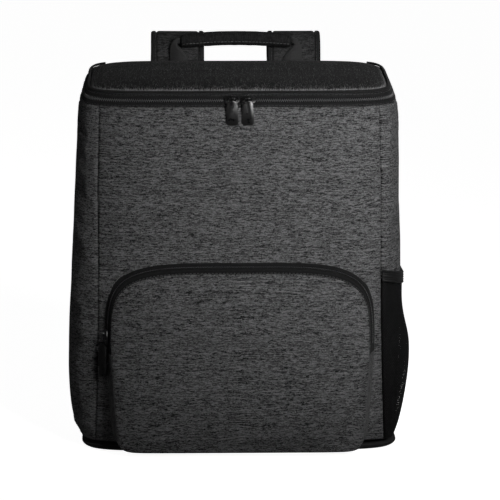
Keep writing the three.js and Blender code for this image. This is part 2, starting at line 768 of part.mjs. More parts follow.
// Middle line of a strap, mirrored by side.
function strapLine(side, steps) {
  const seat = backFaceY(STRAP_GAUGE, YOKE_TOP) + LEG_FACE + GAP + STRAP_THICK / 2;
  const points = STRAP_LINE.map(
    (row) =>
      new THREE.Vector3(
        side * (STRAP_GAUGE + STRAP_SPLAY * row.splay),
        seat + STRAP_REACH * row.behind,
        STRAP_TOP * row.height,
      ),
  );
  points[0].z = YOKE_TOP + GAP;
  return smoothLine(points, steps);
}

const ACROSS = new THREE.Vector3(1, 0, 0);

// Directions at a strap's lower end: down along it, across it and away from the back.
function strapEnd(line) {
  const tip = line[line.length - 1];
  const down = headingAt(line, line.length - 1);
  const across = squareTo(ACROSS, down);
  const away = across.clone().cross(down);
  if (away.y < 0) away.negate();
  return { tip, down, across, away };
}

// A point near a strap's lower end: how far down, across and away.
function endPoint(end, down, across, away) {
  return end.tip
    .clone()
    .addScaledVector(end.down, down)
    .addScaledVector(end.across, across)
    .addScaledVector(end.away, away);
}

// The end of a strap is a webbing loop that holds the adjuster by its upper bar.
const LOOP_CLEAR = 2 * GAP; // between the webbing and a bar that it turns round
const LOOP_STAND = ADJUSTER_THICK / 2 + LOOP_CLEAR + WEBBING_THICK / 2;
const UPPER_BAR = 7; // from the strap's end to the middle of the adjuster's upper bar
const ADJUSTER_PITCH = ADJUSTER_BAR + ADJUSTER_SLOT;
const MIDDLE_BAR = UPPER_BAR + ADJUSTER_PITCH;
const LOWER_BAR = MIDDLE_BAR + ADJUSTER_PITCH;

// Half a turn round a bar, from the near side to the far side, bulging up or down the strap.
function roundBar(end, barAt, direction) {
  const reach = ADJUSTER_BAR / 2 + LOOP_CLEAR + WEBBING_THICK / 2;
  const bevel = reach / 3;
  return [
    [0, -LOOP_STAND],
    [reach - bevel, -LOOP_STAND],
    [reach, bevel - LOOP_STAND],
    [reach, LOOP_STAND - bevel],
    [reach - bevel, LOOP_STAND],
    [0, LOOP_STAND],
  ].map(([down, away]) => endPoint(end, barAt + direction * down, 0, away));
}

function addAdjuster(name, end) {
  const frame = new THREE.Shape();
  const halfWidth = ADJUSTER_WIDTH / 2;
  const top = UPPER_BAR - ADJUSTER_BAR / 2;
  const foot = LOWER_BAR + ADJUSTER_BAR / 2;
  const chamfer = ADJUSTER_BAR * 0.7;
  frame.moveTo(-halfWidth + chamfer, top);
  frame.lineTo(halfWidth - chamfer, top);
  frame.lineTo(halfWidth, top + chamfer);
  frame.lineTo(halfWidth, foot - chamfer);
  frame.lineTo(halfWidth - chamfer, foot);
  frame.lineTo(-halfWidth + chamfer, foot);
  frame.lineTo(-halfWidth, foot - chamfer);
  frame.lineTo(-halfWidth, top + chamfer);
  for (const bar of [UPPER_BAR, MIDDLE_BAR]) {
    const slot = new THREE.Path();
    const halfSlot = WEBBING_WIDTH / 2 + 2 * GAP;
    const low = bar + ADJUSTER_BAR / 2;
    slot.moveTo(-halfSlot, low);
    slot.lineTo(-halfSlot, low + ADJUSTER_SLOT);
    slot.lineTo(halfSlot, low + ADJUSTER_SLOT);
    slot.lineTo(halfSlot, low);
    frame.holes.push(slot);
  }
  const geometry = new THREE.ExtrudeGeometry(frame, { depth: ADJUSTER_THICK, bevelEnabled: false });
  geometry.translate(0, 0, -ADJUSTER_THICK / 2);
  const mesh = addPiece(name, geometry, hardBlack);
  // Columns of the turn: across, down, and their cross product.
  const normal = end.across.clone().cross(end.down);
  mesh.quaternion.setFromRotationMatrix(new THREE.Matrix4().makeBasis(end.across, end.down, normal));
  mesh.position.copy(end.tip);
}

// The lower webbing runs from its anchor up the back of the adjuster, over the middle bar and down
// the outside to its free end.
function lowerWebbing(end, side, anchor) {
  const clearOfFoot = LOWER_BAR + 2 * ADJUSTER_BAR;
  const start = endPoint(end, clearOfFoot, 0, -LOOP_STAND);
  const rise = smoothLine(
    [0, 0.4, 0.8, 1].map((share) => anchor.clone().lerp(start, share)),
    WEBBING_STEPS,
  );
  const over = roundBar(end, MIDDLE_BAR, -1);
  const outside = endPoint(end, clearOfFoot, 0, LOOP_STAND);
  const tail = TAIL_LINE.map((row) =>
    new THREE.Vector3(side * row.outward, -row.inward, -row.down).multiplyScalar(TAIL_LENGTH).add(outside),
  );
  return [...rise, ...over, ...smoothLine(tail, TAIL_STEPS)];
}

// A sewn tab that ties the lower webbing to the back panel's side seam. Its upper edge lies square to
// the webbing, which rises towards the strap's end.
function anchorTab(side, anchor, strapTip) {
  const rise = new THREE.Vector2(strapTip.x - anchor.x, strapTip.z - anchor.z).normalize();
  const half = (side * WEBBING_WIDTH) / 2;
  const seam = side * (seamHalfWidth(0) - LOOP_CLEAR);
  const topCorner = (sign) => [
    anchor.x - ANCHOR_TAB_THICK * rise.x + sign * half * rise.y,
    anchor.z - ANCHOR_TAB_THICK * rise.y - sign * half * rise.x,
  ];
  const corners = [
    topCorner(-1),
    topCorner(1),
    ...ANCHOR_CORNERS.map((row) => [
      THREE.MathUtils.lerp(anchor.x, seam, row.outward),
      anchor.z - ANCHOR_TAB * row.down,
    ]),
  ];
  const ring = (lift) => corners.map(([x, z]) => new THREE.Vector3(x, backFaceY(x, z) + lift, z));
  return loft([ring(GAP), ring(GAP + ANCHOR_TAB_THICK)]);
}

function addStrap(name, side) {
  const line = strapLine(side, STRAP_STEPS);
  const widthAt = (share) =>
    STRAP_WIDTH * (1 - STRAP_TAPER * THREE.MathUtils.smoothstep(share, STRAP_TAPER_FROM, 1));
  addPiece(`strap_${name}`, band(line, ACROSS, widthAt, STRAP_THICK, paddedSection(STRAP_EDGE)), heather);
  for (const [edge, sign] of [["outer", side], ["inner", -side]]) {
    const edgeLine = line.map((point, k) => {
      const offset = widthAt(k / STRAP_STEPS) / 2 + GAP + BINDING_WIDTH / 2;
      return point.clone().addScaledVector(squareTo(ACROSS, headingAt(line, k)), sign * offset);
    });
    // A binding is thicker than its strap, so at the root it stands further off the back panel.
    edgeLine.forEach((point, k) => {
      point.y += (BINDING_PROUD / 2) * Math.max(0, 1 - k / STRAP_ROOT_STEPS);
    });
    const binding = band(edgeLine, ACROSS, () => BINDING_WIDTH, STRAP_THICK + BINDING_PROUD);
    addPiece(`strap_${name}_binding_${edge}`, binding, blackCloth);
  }
  addStrapEnd(name, side, strapEnd(line));
}

// The loop, the adjuster, the lower webbing and the tab that anchors it.
function addStrapEnd(name, side, end) {
  const loop = [
    endPoint(end, GAP, 0, -LOOP_STAND),
    endPoint(end, UPPER_BAR / 2, 0, -LOOP_STAND),
    ...roundBar(end, UPPER_BAR, 1),
    endPoint(end, UPPER_BAR / 2, 0, LOOP_STAND),
    endPoint(end, GAP, 0, LOOP_STAND),
  ];
  const flat = () => WEBBING_WIDTH;
  addPiece(`strap_${name}_loop`, band(loop, end.across, flat, WEBBING_THICK), webbing);
  addAdjuster(`strap_${name}_adjuster`, end);
  // The webbing's inner edge touches the back panel first, because the panel bulges to its middle.
  const anchorX = side * (seamHalfWidth(0) - ANCHOR_INSET);
  const innerEdge = anchorX - (side * WEBBING_WIDTH) / 2;
  const seat = backFaceY(innerEdge, ANCHOR_HEIGHT) + LOOP_CLEAR + WEBBING_THICK / 2;
  const anchor = new THREE.Vector3(anchorX, seat, ANCHOR_HEIGHT);
  const lower = band(lowerWebbing(end, side, anchor), end.across, flat, WEBBING_THICK);
  addPiece(`strap_${name}_webbing`, lower, webbing);
  addPiece(`strap_${name}_anchor`, anchorTab(side, anchor, end.tip), heather);
}

// Grab handle: a padded roll with a webbing leg at each end.
const GRIP_HEIGHT = HANDLE_TOP - HANDLE_ROLL / 2;

function gripPanel(seat) {
  const rings = Array.from({ length: GRIP_STEPS + 1 }, (_, k) => {
    const share = (2 * k) / GRIP_STEPS - 1;
    const radius = (HANDLE_ROLL / 2) * (1 - HANDLE_END_TAPER * share ** 4);
    const z = GRIP_HEIGHT - HANDLE_ARCH * share ** 2;
    const middle = new THREE.Vector3((share * HANDLE_LENGTH) / 2, seat, z);
    return Array.from({ length: GRIP_SIDES }, (_, j) => {
      const angle = (2 * Math.PI * j) / GRIP_SIDES;
      return new THREE.Vector3(0, radius * Math.cos(angle), radius * Math.sin(angle)).add(middle);
    });
  });
  return loft(rings);
}

// Middle line of a leg: out of the grip, round a quarter turn and down to the yoke.
function legLine(seat, side) {
  const start = new THREE.Vector3(HANDLE_LENGTH / 2 + GAP, seat, GRIP_HEIGHT - HANDLE_ARCH);
  const bend = Array.from({ length: BEND_STEPS + 1 }, (_, k) => {
    const angle = (Math.PI / 2) * (k / BEND_STEPS);
    const out = HANDLE_STUB + HANDLE_BEND * Math.sin(angle);
    return start.clone().add(new THREE.Vector3(out, 0, HANDLE_BEND * (Math.cos(angle) - 1)));
  });
  const foot = new THREE.Vector3(HANDLE_LEG_GAUGE, seat, YOKE_TOP + GAP);
  const knee = foot.clone().setZ(YOKE_TOP + HANDLE_BEND);
  const descent = smoothLine([bend[BEND_STEPS], knee], BEND_STEPS + 1).slice(1);
  const line = [start, ...bend, ...descent, foot];
  return line.map((point) => point.setX(side * point.x));
}

function addHandle() {
  const seat = backFaceY(HANDLE_LEG_GAUGE, YOKE_TOP) + GAP + HANDLE_LEG_THICK / 2;
  addPiece("handle_grip", gripPanel(seat), heather);
  for (const [name, side] of [["left", -1], ["right", 1]]) {
    const line = legLine(seat, side);
    const rings = line.map((point, k) => {
      const along = headingAt(line, k);
      const spread = THREE.MathUtils.smoothstep(k / (line.length - 1), HANDLE_NECK_END, HANDLE_SPREAD_END);
      const width = THREE.MathUtils.lerp(HANDLE_NECK_WIDTH, HANDLE_LEG_WIDTH, spread);
      const out = new THREE.Vector3(along.z, 0, -along.x).multiplyScalar(width / 2);
      const back = new THREE.Vector3(0, HANDLE_LEG_THICK / 2, 0);
      return SQUARE_SECTION.map(([w, t]) => point.clone().addScaledVector(out, w).addScaledVector(back, t));
    });
    addPiece(`handle_leg_${name}`, loft(rings), webbing);
  }
}

// manifold-3d solids for the small joined pieces.
function solidOf(geometry) {
  const bare = geometry.clone();
  for (const name of Object.keys(bare.attributes)) {
    if (name !== "position") bare.deleteAttribute(name);
  }
  const merged = mergeVertices(bare, 1e-4);
  return new wasm.Manifold(
    new wasm.Mesh({
      numProp: 3,
      vertProperties: merged.attributes.position.array,
      triVerts: new Uint32Array(merged.index.array),
    }),
  );
}

function geometryOf(solid) {
  const mesh = solid.getMesh();
  const geometry = new THREE.BufferGeometry();
  geometry.setAttribute("position", new THREE.BufferAttribute(mesh.vertProperties, 3));
  geometry.setIndex(new THREE.BufferAttribute(mesh.triVerts, 1));
  geometry.computeVertexNormals();
  return geometry;
}

// A slider in its own frame: x along the zip, y across it, z out of it from the chain's face.
const BRIDGE_AXIS = GAP + SLIDER_PLATE + BRIDGE_ROOM + BRIDGE_BAR / 2;

function sliderGeometry() {
  const edge = SLIDER_EDGE.map((row) => [
    (row.along * SLIDER_LENGTH) / 2,
    (row.across * SLIDER_WIDTH) / 2,
  ]);
  const mirrored = edge.map(([along, across]) => [along, -across]).reverse();
  const outline = new THREE.Shape([...edge, ...mirrored].map(([x, y]) => new THREE.Vector2(x, y)));
  const plate = new THREE.ExtrudeGeometry(outline, { depth: SLIDER_PLATE, bevelEnabled: false });
  plate.translate(0, 0, GAP);
  const bridge = new THREE.Shape();
  const halfSpan = BRIDGE_SPAN / 2;
  const low = GAP + SLIDER_PLATE / 2;
  const under = GAP + SLIDER_PLATE + BRIDGE_ROOM;
  bridge.moveTo(-halfSpan, low);
  bridge.lineTo(-halfSpan, under);
  bridge.lineTo(-halfSpan + BRIDGE_BAR, under + BRIDGE_BAR);
  bridge.lineTo(halfSpan - BRIDGE_BAR, under + BRIDGE_BAR);
  bridge.lineTo(halfSpan, under);
  bridge.lineTo(halfSpan, low);
  bridge.lineTo(halfSpan - BRIDGE_BAR, low);
  bridge.lineTo(halfSpan - BRIDGE_BAR, under);
  bridge.lineTo(-halfSpan + BRIDGE_BAR, under);
  bridge.lineTo(-halfSpan + BRIDGE_BAR, low);
  const arch = new THREE.ExtrudeGeometry(bridge, { depth: BRIDGE_WIDTH, bevelEnabled: false });
  arch.rotateX(Math.PI / 2);
  arch.translate(0, BRIDGE_WIDTH / 2, 0);
  return geometryOf(solidOf(plate).add(solidOf(arch)));
}

// A puller in its own frame: its ring's middle is the origin, the ring lies across x when ringAcross
// is true and across z otherwise, and the tab hangs along -y, twisted about it by an angle.
function pullerGeometry(topWidth, footWidth, length, ringAcross, twist = 0) {
  const ring = new THREE.TorusGeometry(RING_RADIUS, RING_WIRE / 2, RING_SIDES, RING_STEPS);
  if (ringAcross) ring.rotateY(Math.PI / 2);
  const top = -RING_RADIUS;
  const foot = top - length;
  const chamfer = footWidth * PULLER_CHAMFER;
  const neck = (topWidth * PULLER_NECK) / 2;
  const tab = new THREE.Shape();
  tab.moveTo(-neck, top);
  tab.lineTo(-topWidth / 2, top - chamfer);
  tab.lineTo(-footWidth / 2, foot + chamfer);
  tab.lineTo(-footWidth / 2 + chamfer, foot);
  tab.lineTo(footWidth / 2 - chamfer, foot);
  tab.lineTo(footWidth / 2, foot + chamfer);
  tab.lineTo(topWidth / 2, top - chamfer);
  tab.lineTo(neck, top);
  const plate = new THREE.ExtrudeGeometry(tab, { depth: PULLER_THICK, bevelEnabled: false });
  plate.translate(0, 0, -PULLER_THICK / 2);
  plate.rotateY(twist);
  return geometryOf(solidOf(ring).add(solidOf(plate)));
}

// Two sliders meet at the middle of the lid's zip and lean back with it. Their pullers hang straight
// down over the front panel.
function addLidSliders() {
  const lean = Math.atan2(ZIP_LEAN, ZIP_HEIGHT);
  const lift = (CHAIN_LOW + CHAIN_HIGH) / 2;
  const faceInset = lift * Math.tan(lean) - CHAIN_PROUD;
  const seat = bodyPoint(-Math.PI / 2, 1, faceInset, lift);
  // x along the zip, y up it, z out to the front
  const frontFacing = new THREE.Euler(Math.PI / 2 - lean, 0, 0);
  for (const [name, side] of [["left", -1], ["right", 1]]) {
    const stand = new THREE.Group();
    stand.position.copy(seat).setX(side * LID_SLIDER_GAUGE);
    stand.setRotationFromEuler(frontFacing);
    part.add(stand);
    const slider = addPiece(`lid_slider_${name}`, sliderGeometry(), hardBlack, stand);
    if (side > 0) slider.rotation.z = Math.PI;
    const puller = addPiece(
      `lid_puller_${name}`,
      pullerGeometry(LID_PULLER_TOP_WIDTH, LID_PULLER_FOOT_WIDTH, LID_PULLER_LENGTH, true),
      hardBlack,
      stand,
    );
    puller.position.z = BRIDGE_AXIS;
    puller.rotation.x = lean;
  }
}

// The pocket's slider stops near the left end of its zip, with its puller hanging along the band.
function addPocketSlider() {
  const middle = (POCKET_CHAIN_LOW + POCKET_CHAIN_HIGH) / 2;
  const at = (degrees, across, proud) => {
    const angle = THREE.MathUtils.degToRad(degrees);
    return pocketPoint(angle, across, -proud, 1, (z) => across * pocketEdgeDepth(z));
  };
  const seat = at(POCKET_SLIDER_TURN, middle, CHAIN_PROUD);
  const step = 2;
  const up = at(POCKET_SLIDER_TURN - step, middle, CHAIN_PROUD)
    .sub(at(POCKET_SLIDER_TURN + step, middle, CHAIN_PROUD))
    .normalize();
  const toFace = at(POCKET_SLIDER_TURN, 1, 0).sub(at(POCKET_SLIDER_TURN, 0, 0)).normalize();
  const out = up.clone().cross(toFace).normalize();
  if (out.y > 0) out.negate();
  const stand = new THREE.Group();
  stand.position.copy(seat);
  stand.quaternion.setFromRotationMatrix(
    new THREE.Matrix4().makeBasis(up, out.clone().cross(up), out),
  );
  part.add(stand);
  addPiece("pocket_slider", sliderGeometry(), hardBlack, stand);
  // The ring's upper wire passes under the bridge at its lower leg.
  const legFace = -BRIDGE_SPAN / 2 + BRIDGE_BAR;
  const hang = new THREE.Group();
  const wireX = legFace + 2 * GAP + RING_WIRE / 2;
  hang.position.set(wireX - RING_RADIUS, 0, BRIDGE_AXIS - BRIDGE_BAR / 2 - GAP - RING_WIRE / 2);
  hang.rotation.z = -Math.PI / 2;
  stand.add(hang);
  const twist = THREE.MathUtils.degToRad(POCKET_PULLER_TWIST);
  const width = POCKET_PULLER_WIDTH;
  const puller = pullerGeometry(width, width, POCKET_PULLER_LENGTH, false, twist);
  addPiece("pocket_puller", puller, hardBlack, hang);
}

addPiece("front_panel", facePanel(-1, 12), heather);
addPiece("back_panel", facePanel(1, 8), blackCloth);
addPiece("side_panel_right", sidePanel(0), heather);
addPiece("side_panel_left", sidePanel(Math.PI), heather);
addPiece("base_panel", basePanel(), blackCloth);
addPiece("base_rim_right", baseRim(0), blackCloth);
addPiece("base_rim_back", baseRim(1), blackCloth);
addPiece("base_rim_left", baseRim(2), blackCloth);
addPiece("base_rim_front", baseRim(3), blackCloth);
addLid();
addFrontPocket();
addSidePocket();
addYoke();
addStrap("left", -1);
addStrap("right", 1);
addHandle();
addLidSliders();
addPocketSlider();

export default part;
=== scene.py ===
"""Cooler backpack: a soft insulated box with a zipped lid, a zipped front pocket, a net side pocket,
padded shoulder straps and a grab handle. Lengths are metres, +Z is up and the front faces -Y."""

import math
from collections import namedtuple

import bmesh
import bpy
import numpy as np
from bpy.props import FloatProperty, FloatVectorProperty, PointerProperty
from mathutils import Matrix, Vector, noise


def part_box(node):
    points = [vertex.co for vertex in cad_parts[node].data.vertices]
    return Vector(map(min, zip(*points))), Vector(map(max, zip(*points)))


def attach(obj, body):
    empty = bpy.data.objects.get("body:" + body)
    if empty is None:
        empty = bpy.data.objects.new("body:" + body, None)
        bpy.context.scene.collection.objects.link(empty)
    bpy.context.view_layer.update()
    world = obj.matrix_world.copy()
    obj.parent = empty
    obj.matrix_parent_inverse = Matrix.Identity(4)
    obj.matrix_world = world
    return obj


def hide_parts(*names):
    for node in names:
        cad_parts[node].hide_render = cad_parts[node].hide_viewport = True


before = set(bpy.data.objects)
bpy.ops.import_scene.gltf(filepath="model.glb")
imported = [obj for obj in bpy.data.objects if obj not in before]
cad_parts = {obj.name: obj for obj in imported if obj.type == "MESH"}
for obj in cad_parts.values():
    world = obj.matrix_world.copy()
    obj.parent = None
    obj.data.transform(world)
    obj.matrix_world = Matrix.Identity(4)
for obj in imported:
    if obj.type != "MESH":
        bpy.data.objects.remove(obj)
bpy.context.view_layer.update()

bl_info = {
    "name": "Cooler Backpack",
    "version": (1, 0, 0),
    "blender": (4, 5, 0),
    "location": "View3D > Sidebar > Backpack",
    "description": "Builds an insulated backpack, piece by piece, round its measured frame",
    "category": "Add Mesh",
}

MM = 0.001
BAG = "bag"


def low(node):
    """Lowest corner of one of the frame's pieces."""
    return Vector(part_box(node)[0])


def high(node):
    """Highest corner of one of the frame's pieces."""
    return Vector(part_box(node)[1])


def rim_point(node, side):
    """Where a face panel's upper edge crosses the middle of the bag, on the outer face."""
    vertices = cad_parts[node].data.vertices
    reach = high(node).z - 10 * MM
    top = [v.co for v in vertices if abs(v.co.x) < 0.1 * MM and v.co.z > reach]
    return max(top, key=lambda point: side * point.y)


# Body
BODY_WIDTH = -2 * low("side_panel_left").x
BODY_DEPTH = 2 * high("back_panel").y
PANEL_FOOT = low("front_panel").z
FRONT_RIM = rim_point("front_panel", -1)
BACK_RIM = rim_point("back_panel", 1)
RIM_SLOPE = (BACK_RIM.z - FRONT_RIM.z) / (BACK_RIM.y - FRONT_RIM.y)
CORNER_POWER = 6
CORNER_CROWDING = 0.6
SEAM_FOOT = high("front_panel").x
SEAM_TOP = high("lid_hinge").x
SEAM_DRAW = 3.5 * MM  # how far the stuffed panels draw their seams in
SIDE_DENT = 11.5 * MM
WALL = 5 * MM
GAP = 0.3 * MM
SHARP_EDGE = math.radians(42)  # faces that meet more steeply look creased

# Base
BASE_RIM = high("base_panel").z
BASE_BOARD = 6 * MM
BASE_ROUND = 13 * MM

# Lid and its zip
ZIP_TAPE = 4 * MM
ZIP_CHAIN = 3.4 * MM
ZIP_TAPE_THICK = 1.2 * MM
ZIP_LEAN = 6 * MM
ZIP_HEIGHT = 3 * GAP + 2 * ZIP_TAPE + ZIP_CHAIN
CHAIN_LOW = 2 * GAP + ZIP_TAPE
CHAIN_HIGH = CHAIN_LOW + ZIP_CHAIN
PIPING = 3 * MM
PIPING_LIFT = ZIP_HEIGHT + GAP + PIPING / 2
LID_INSET = ZIP_LEAN * (PIPING_LIFT + PIPING / 2) / ZIP_HEIGHT + PIPING / 2 + GAP
LID_SHOULDER = 40 * MM
LID_DOME = 8 * MM
LID_WALL = 6 * MM
LID_TUCK = 1.5 * MM  # how far the lid's edge reaches under its piping
LID_SKIRT = 2.5 * MM  # and how far down behind it
LID_TOP = 1.12  # height of the lid's middle as a share of LID_DOME

# Front pocket
POCKET_WIDTH = 2 * high("pocket_zip_outer_tape").x
POCKET_TOP = high("pocket_zip_outer_tape").z
POCKET_WAIST = low("pocket_zip_outer_tape").z
POCKET_HANG = 2.5 * MM
POCKET_FOOT = low("pocket_gusset").z + POCKET_HANG
POCKET_DEPTH = 34 * MM
POCKET_PUFF = 8 * MM
POCKET_BAND_SIDE = 7 * MM
POCKET_BAND_TOP = 11 * MM
POCKET_TAPER = 7 * MM
POCKET_ARCH_POWER = 4.5
POCKET_FOOT_POWER = 20
POCKET_FABRIC = 2.5 * MM
POCKET_RISE = POCKET_TOP - POCKET_WAIST
POCKET_DROP = POCKET_WAIST - POCKET_FOOT
TAPE_SHARE = 0.37  # of the band's width, each of the zip's two tapes
ZIP_END = 0.02  # how far the coil and the stitches stop short of the tapes' ends, in radians

# Side pocket
SIDE_POCKET_HEIGHT = 172 * MM
SIDE_POCKET_SAG = 8 * MM
SIDE_POCKET_BELLY = 14 * MM
SIDE_POCKET_MOUTH = 4 * MM
SIDE_POCKET_FULLNESS = 0.7
SIDE_POCKET_ROUND = 0.8
ELASTIC_WIDTH = 12 * MM
ELASTIC_THICK = 1.6 * MM
ELASTIC_RIBS = 5
NET_SLACK = 1.02  # width of the flat net as a share of the body's depth

# Straps
STRAP_TOP = 409 * MM
STRAP_REACH = 42 * MM
STRAP_GAUGE = 61 * MM
STRAP_SPLAY = 34 * MM
STRAP_WIDTH = 45 * MM
STRAP_THICK = 8 * MM
STRAP_TAPER = 0.2
STRAP_TAPER_FROM = 0.55
BINDING_WIDTH = 6 * MM
BINDING_THICK = 8.8 * MM
YOKE_WIDTH = high("strap_yoke").x - low("strap_yoke").x
YOKE_TOP = high("strap_yoke").z
YOKE_FOOT = low("strap_yoke").z
YOKE_THICK = 12 * MM
YOKE_EDGE = 9 * MM

# Handle
HANDLE_LENGTH = high("handle_grip").x - low("handle_grip").x
HANDLE_ROLL = 15 * MM
HANDLE_ARCH = 3 * MM
HANDLE_TOP = high("handle_grip").z
HANDLE_SEAT = (high("handle_grip").y + low("handle_grip").y) / 2
HANDLE_LEG_THICK = 2 * MM
HANDLE_TAPER = 0.12
HANDLE_SEAM = math.radians(205)  # where the roll is sewn shut, round it from its back

# Width and depth of the body as shares of the whole, and the dent of the side that has the net
# pocket, from the base to the zip
Section = namedtuple("Section", "share width depth dent")
BODY_SECTIONS = (
    Section(0, 0.925, 0.95, 0.3),
    Section(0.05, 0.957, 0.978, 0.7),
    Section(0.14, 0.98, 0.994, 1),
    Section(0.26, 0.984, 1, 0.92),
    Section(0.5, 0.963, 0.995, 0.5),
    Section(0.75, 0.938, 0.983, 0.3),
    Section(1, 0.916, 0.96, 0),
)

# Section of the base: inset from the outline as a share of BASE_ROUND, height as one of BASE_RIM
BaseStep = namedtuple("BaseStep", "inset height")
BASE_PROFILE = (
    BaseStep(0.02, 0.97),
    BaseStep(-0.02, 0.8),
    BaseStep(0.04, 0.6),
    BaseStep(0.15, 0.4),
    BaseStep(0.3, 0.22),
    BaseStep(0.5, 0.1),
    BaseStep(0.75, 0.02),
    BaseStep(1, 0),
)

# Top of the lid: inset as a share of LID_SHOULDER, lift as a share of LID_DOME
LidStep = namedtuple("LidStep", "share lift")
LID_PROFILE = (
    LidStep(0, 0.02),
    LidStep(0.03, 0.24),
    LidStep(0.1, 0.44),
    LidStep(0.25, 0.66),
    LidStep(0.5, 0.85),
    LidStep(1, 1.05),
)

# How far the edge of the pocket's face stands out, as a share of POCKET_DEPTH, from foot to crown
PocketEdge = namedtuple("PocketEdge", "share depth")
POCKET_EDGE = (PocketEdge(0, 1), PocketEdge(0.25, 0.92), PocketEdge(0.55, 0.68), PocketEdge(1, 0.5))

# Middle line of a strap: height as a share of STRAP_TOP, then shares of STRAP_REACH and STRAP_SPLAY
StrapPoint = namedtuple("StrapPoint", "height behind splay")
STRAP_LINE = (
    StrapPoint(0.86, 0, 0),
    StrapPoint(0.91, 0.01, 0),
    StrapPoint(0.955, 0.07, 0),
    StrapPoint(0.98, 0.22, 0),
    StrapPoint(0.99, 0.46, 0),
    StrapPoint(0.977, 0.73, 0),
    StrapPoint(0.935, 0.92, 0.01),
    StrapPoint(0.81, 1, 0.08),
    StrapPoint(0.62, 0.93, 0.34),
    StrapPoint(0.46, 0.74, 0.7),
    StrapPoint(0.34, 0.5, 1),
)


# Small geometry


def clamp(value, lowest=0.0, highest=1.0):
    return max(lowest, min(highest, value))


def mix(a, b, share):
    return a + (b - a) * share


def smoothstep(value, start, end):
    t = clamp((value - start) / (end - start))
    return t * t * (3 - 2 * t)


def column_at(table, column, share):
    """One column of a table at a share, on a smooth curve through its rows."""
    i = 0
    while i < len(table) - 2 and share > table[i + 1].share:
        i += 1
    before, a, b, after = (table[int(clamp(i + k, 0, len(table) - 1))] for k in (-1, 0, 1, 2))
    value = {row: getattr(row, column) for row in (before, a, b, after)}
    span = b.share - a.share
    slope_a = (value[b] - value[before]) / (b.share - before.share)
    slope_b = (value[after] - value[a]) / (after.share - a.share)
    t = clamp((share - a.share) / span)
    bend = span * t * (1 - t) * (slope_a * (1 - t) - slope_b * t)
    return value[a] + (value[b] - value[a]) * t * t * (3 - 2 * t) + bend


def outline_reach(angle, a, b, power):
    """Distance from the middle of a squared oval to its edge."""
    return (abs(math.cos(angle) / a) ** power + abs(math.sin(angle) / b) ** power) ** (-1 / power)


def signed_power(value, power):
    return math.copysign(abs(value) ** power, value)


def turn_to_angle(turn, a, b):
    """Steps of a turn crowd into the corners of the outline. 0 is the right side, -90 degrees the front."""
    x = a * signed_power(math.cos(turn), CORNER_CROWDING)
    y = b * signed_power(math.sin(turn), CORNER_CROWDING)
    return math.atan2(y, x)


def section_at(share):
    width = column_at(BODY_SECTIONS, "width", share)
    depth = column_at(BODY_SECTIONS, "depth", share)
    return BODY_WIDTH / 2 * width, BODY_DEPTH / 2 * depth


def rim_height(y):
    return FRONT_RIM.z + RIM_SLOPE * (y - FRONT_RIM.y)


def share_at(z, y):
    return (z - PANEL_FOOT) / (rim_height(y) - PANEL_FOOT)


def face_depth(x, share):
    """How far the front and back faces lie from the middle."""
    a, b = section_at(share)
    return b * (1 - min(abs(x) / a, 1) ** CORNER_POWER) ** (1 / CORNER_POWER)


def outline_facing(x, y, a, b):
    steep = CORNER_POWER - 1
    return Vector((signed_power(x / a, steep) / a, signed_power(y / b, steep) / b, 0)).normalized()


def seam_half_width(share):
    return mix(SEAM_FOOT, SEAM_TOP, share) - SEAM_DRAW * math.sin(math.pi * min(1, share + 0.25))


def seam_turn(share):
    """The turn at which the side panels meet the face panels."""
    a, b = section_at(share)
    x = seam_half_width(share) + GAP
    y = face_depth(x, share)
    power = 1 / CORNER_CROWDING
    return math.atan2((y / b) ** power, (x / a) ** power)


def side_dent(x, y, share):
    if x <= 0:
        return 0
    fade = max(0, 1 - (y / face_depth(seam_half_width(share), share)) ** 6)
    return SIDE_DENT * fade * column_at(BODY_SECTIONS, "dent", share)


def body_point(turn, share, inset=0.0, lift=0.0):
    """A point on the body: turn round it, share of its height, inset square to its outer face."""
    a, b = section_at(share)
    angle = turn_to_angle(turn, a, b)
    reach = outline_reach(angle, a, b, CORNER_POWER)
    x = reach * math.cos(angle)
    y = reach * math.sin(angle)
    z = PANEL_FOOT + share * (rim_height(y) - PANEL_FOOT) + lift
    return Vector((x - side_dent(x, y, share), y, z)) - inset * outline_facing(x, y, a, b)


def face_point(side, across, share, inset):
    """A point on the front (-1) or back (1) panel. Across runs from one seam to the other."""
    a, b = section_at(share)
    x = (2 * across - 1) * seam_half_width(share)
    y = side * face_depth(x, share)
    z = PANEL_FOOT + share * (rim_height(y) - PANEL_FOOT)
    return Vector((x, y, z)) - inset * outline_facing(x, y, a, b)


def front_face_y(x, z):
    return -face_depth(x, clamp(share_at(z, -BODY_DEPTH / 2)))


def back_face_y(x, z):
    return face_depth(x, clamp(share_at(z, BODY_DEPTH / 2)))


def rim_line(inset, lift, start, end, step):
    """Points along the lid's zip with the directions that they face, and lean with the zip."""
    lean = ZIP_LEAN / ZIP_HEIGHT
    length = 2 * (BODY_WIDTH + BODY_DEPTH) * abs(end - start) / (2 * math.pi)
    count = max(2, round(length / step))
    points = []
    facings = []
    for k in range(count + 1):
        turn = mix(start, end, k / count)
        outer = body_point(turn, 1, inset + lean * lift, lift)
        inner = body_point(turn, 1, inset + lean * lift + MM, lift)
        flat = (outer - inner).normalized()
        points.append(outer)
        facings.append((flat + Vector((0, 0, lean))).normalized())
    return points, facings


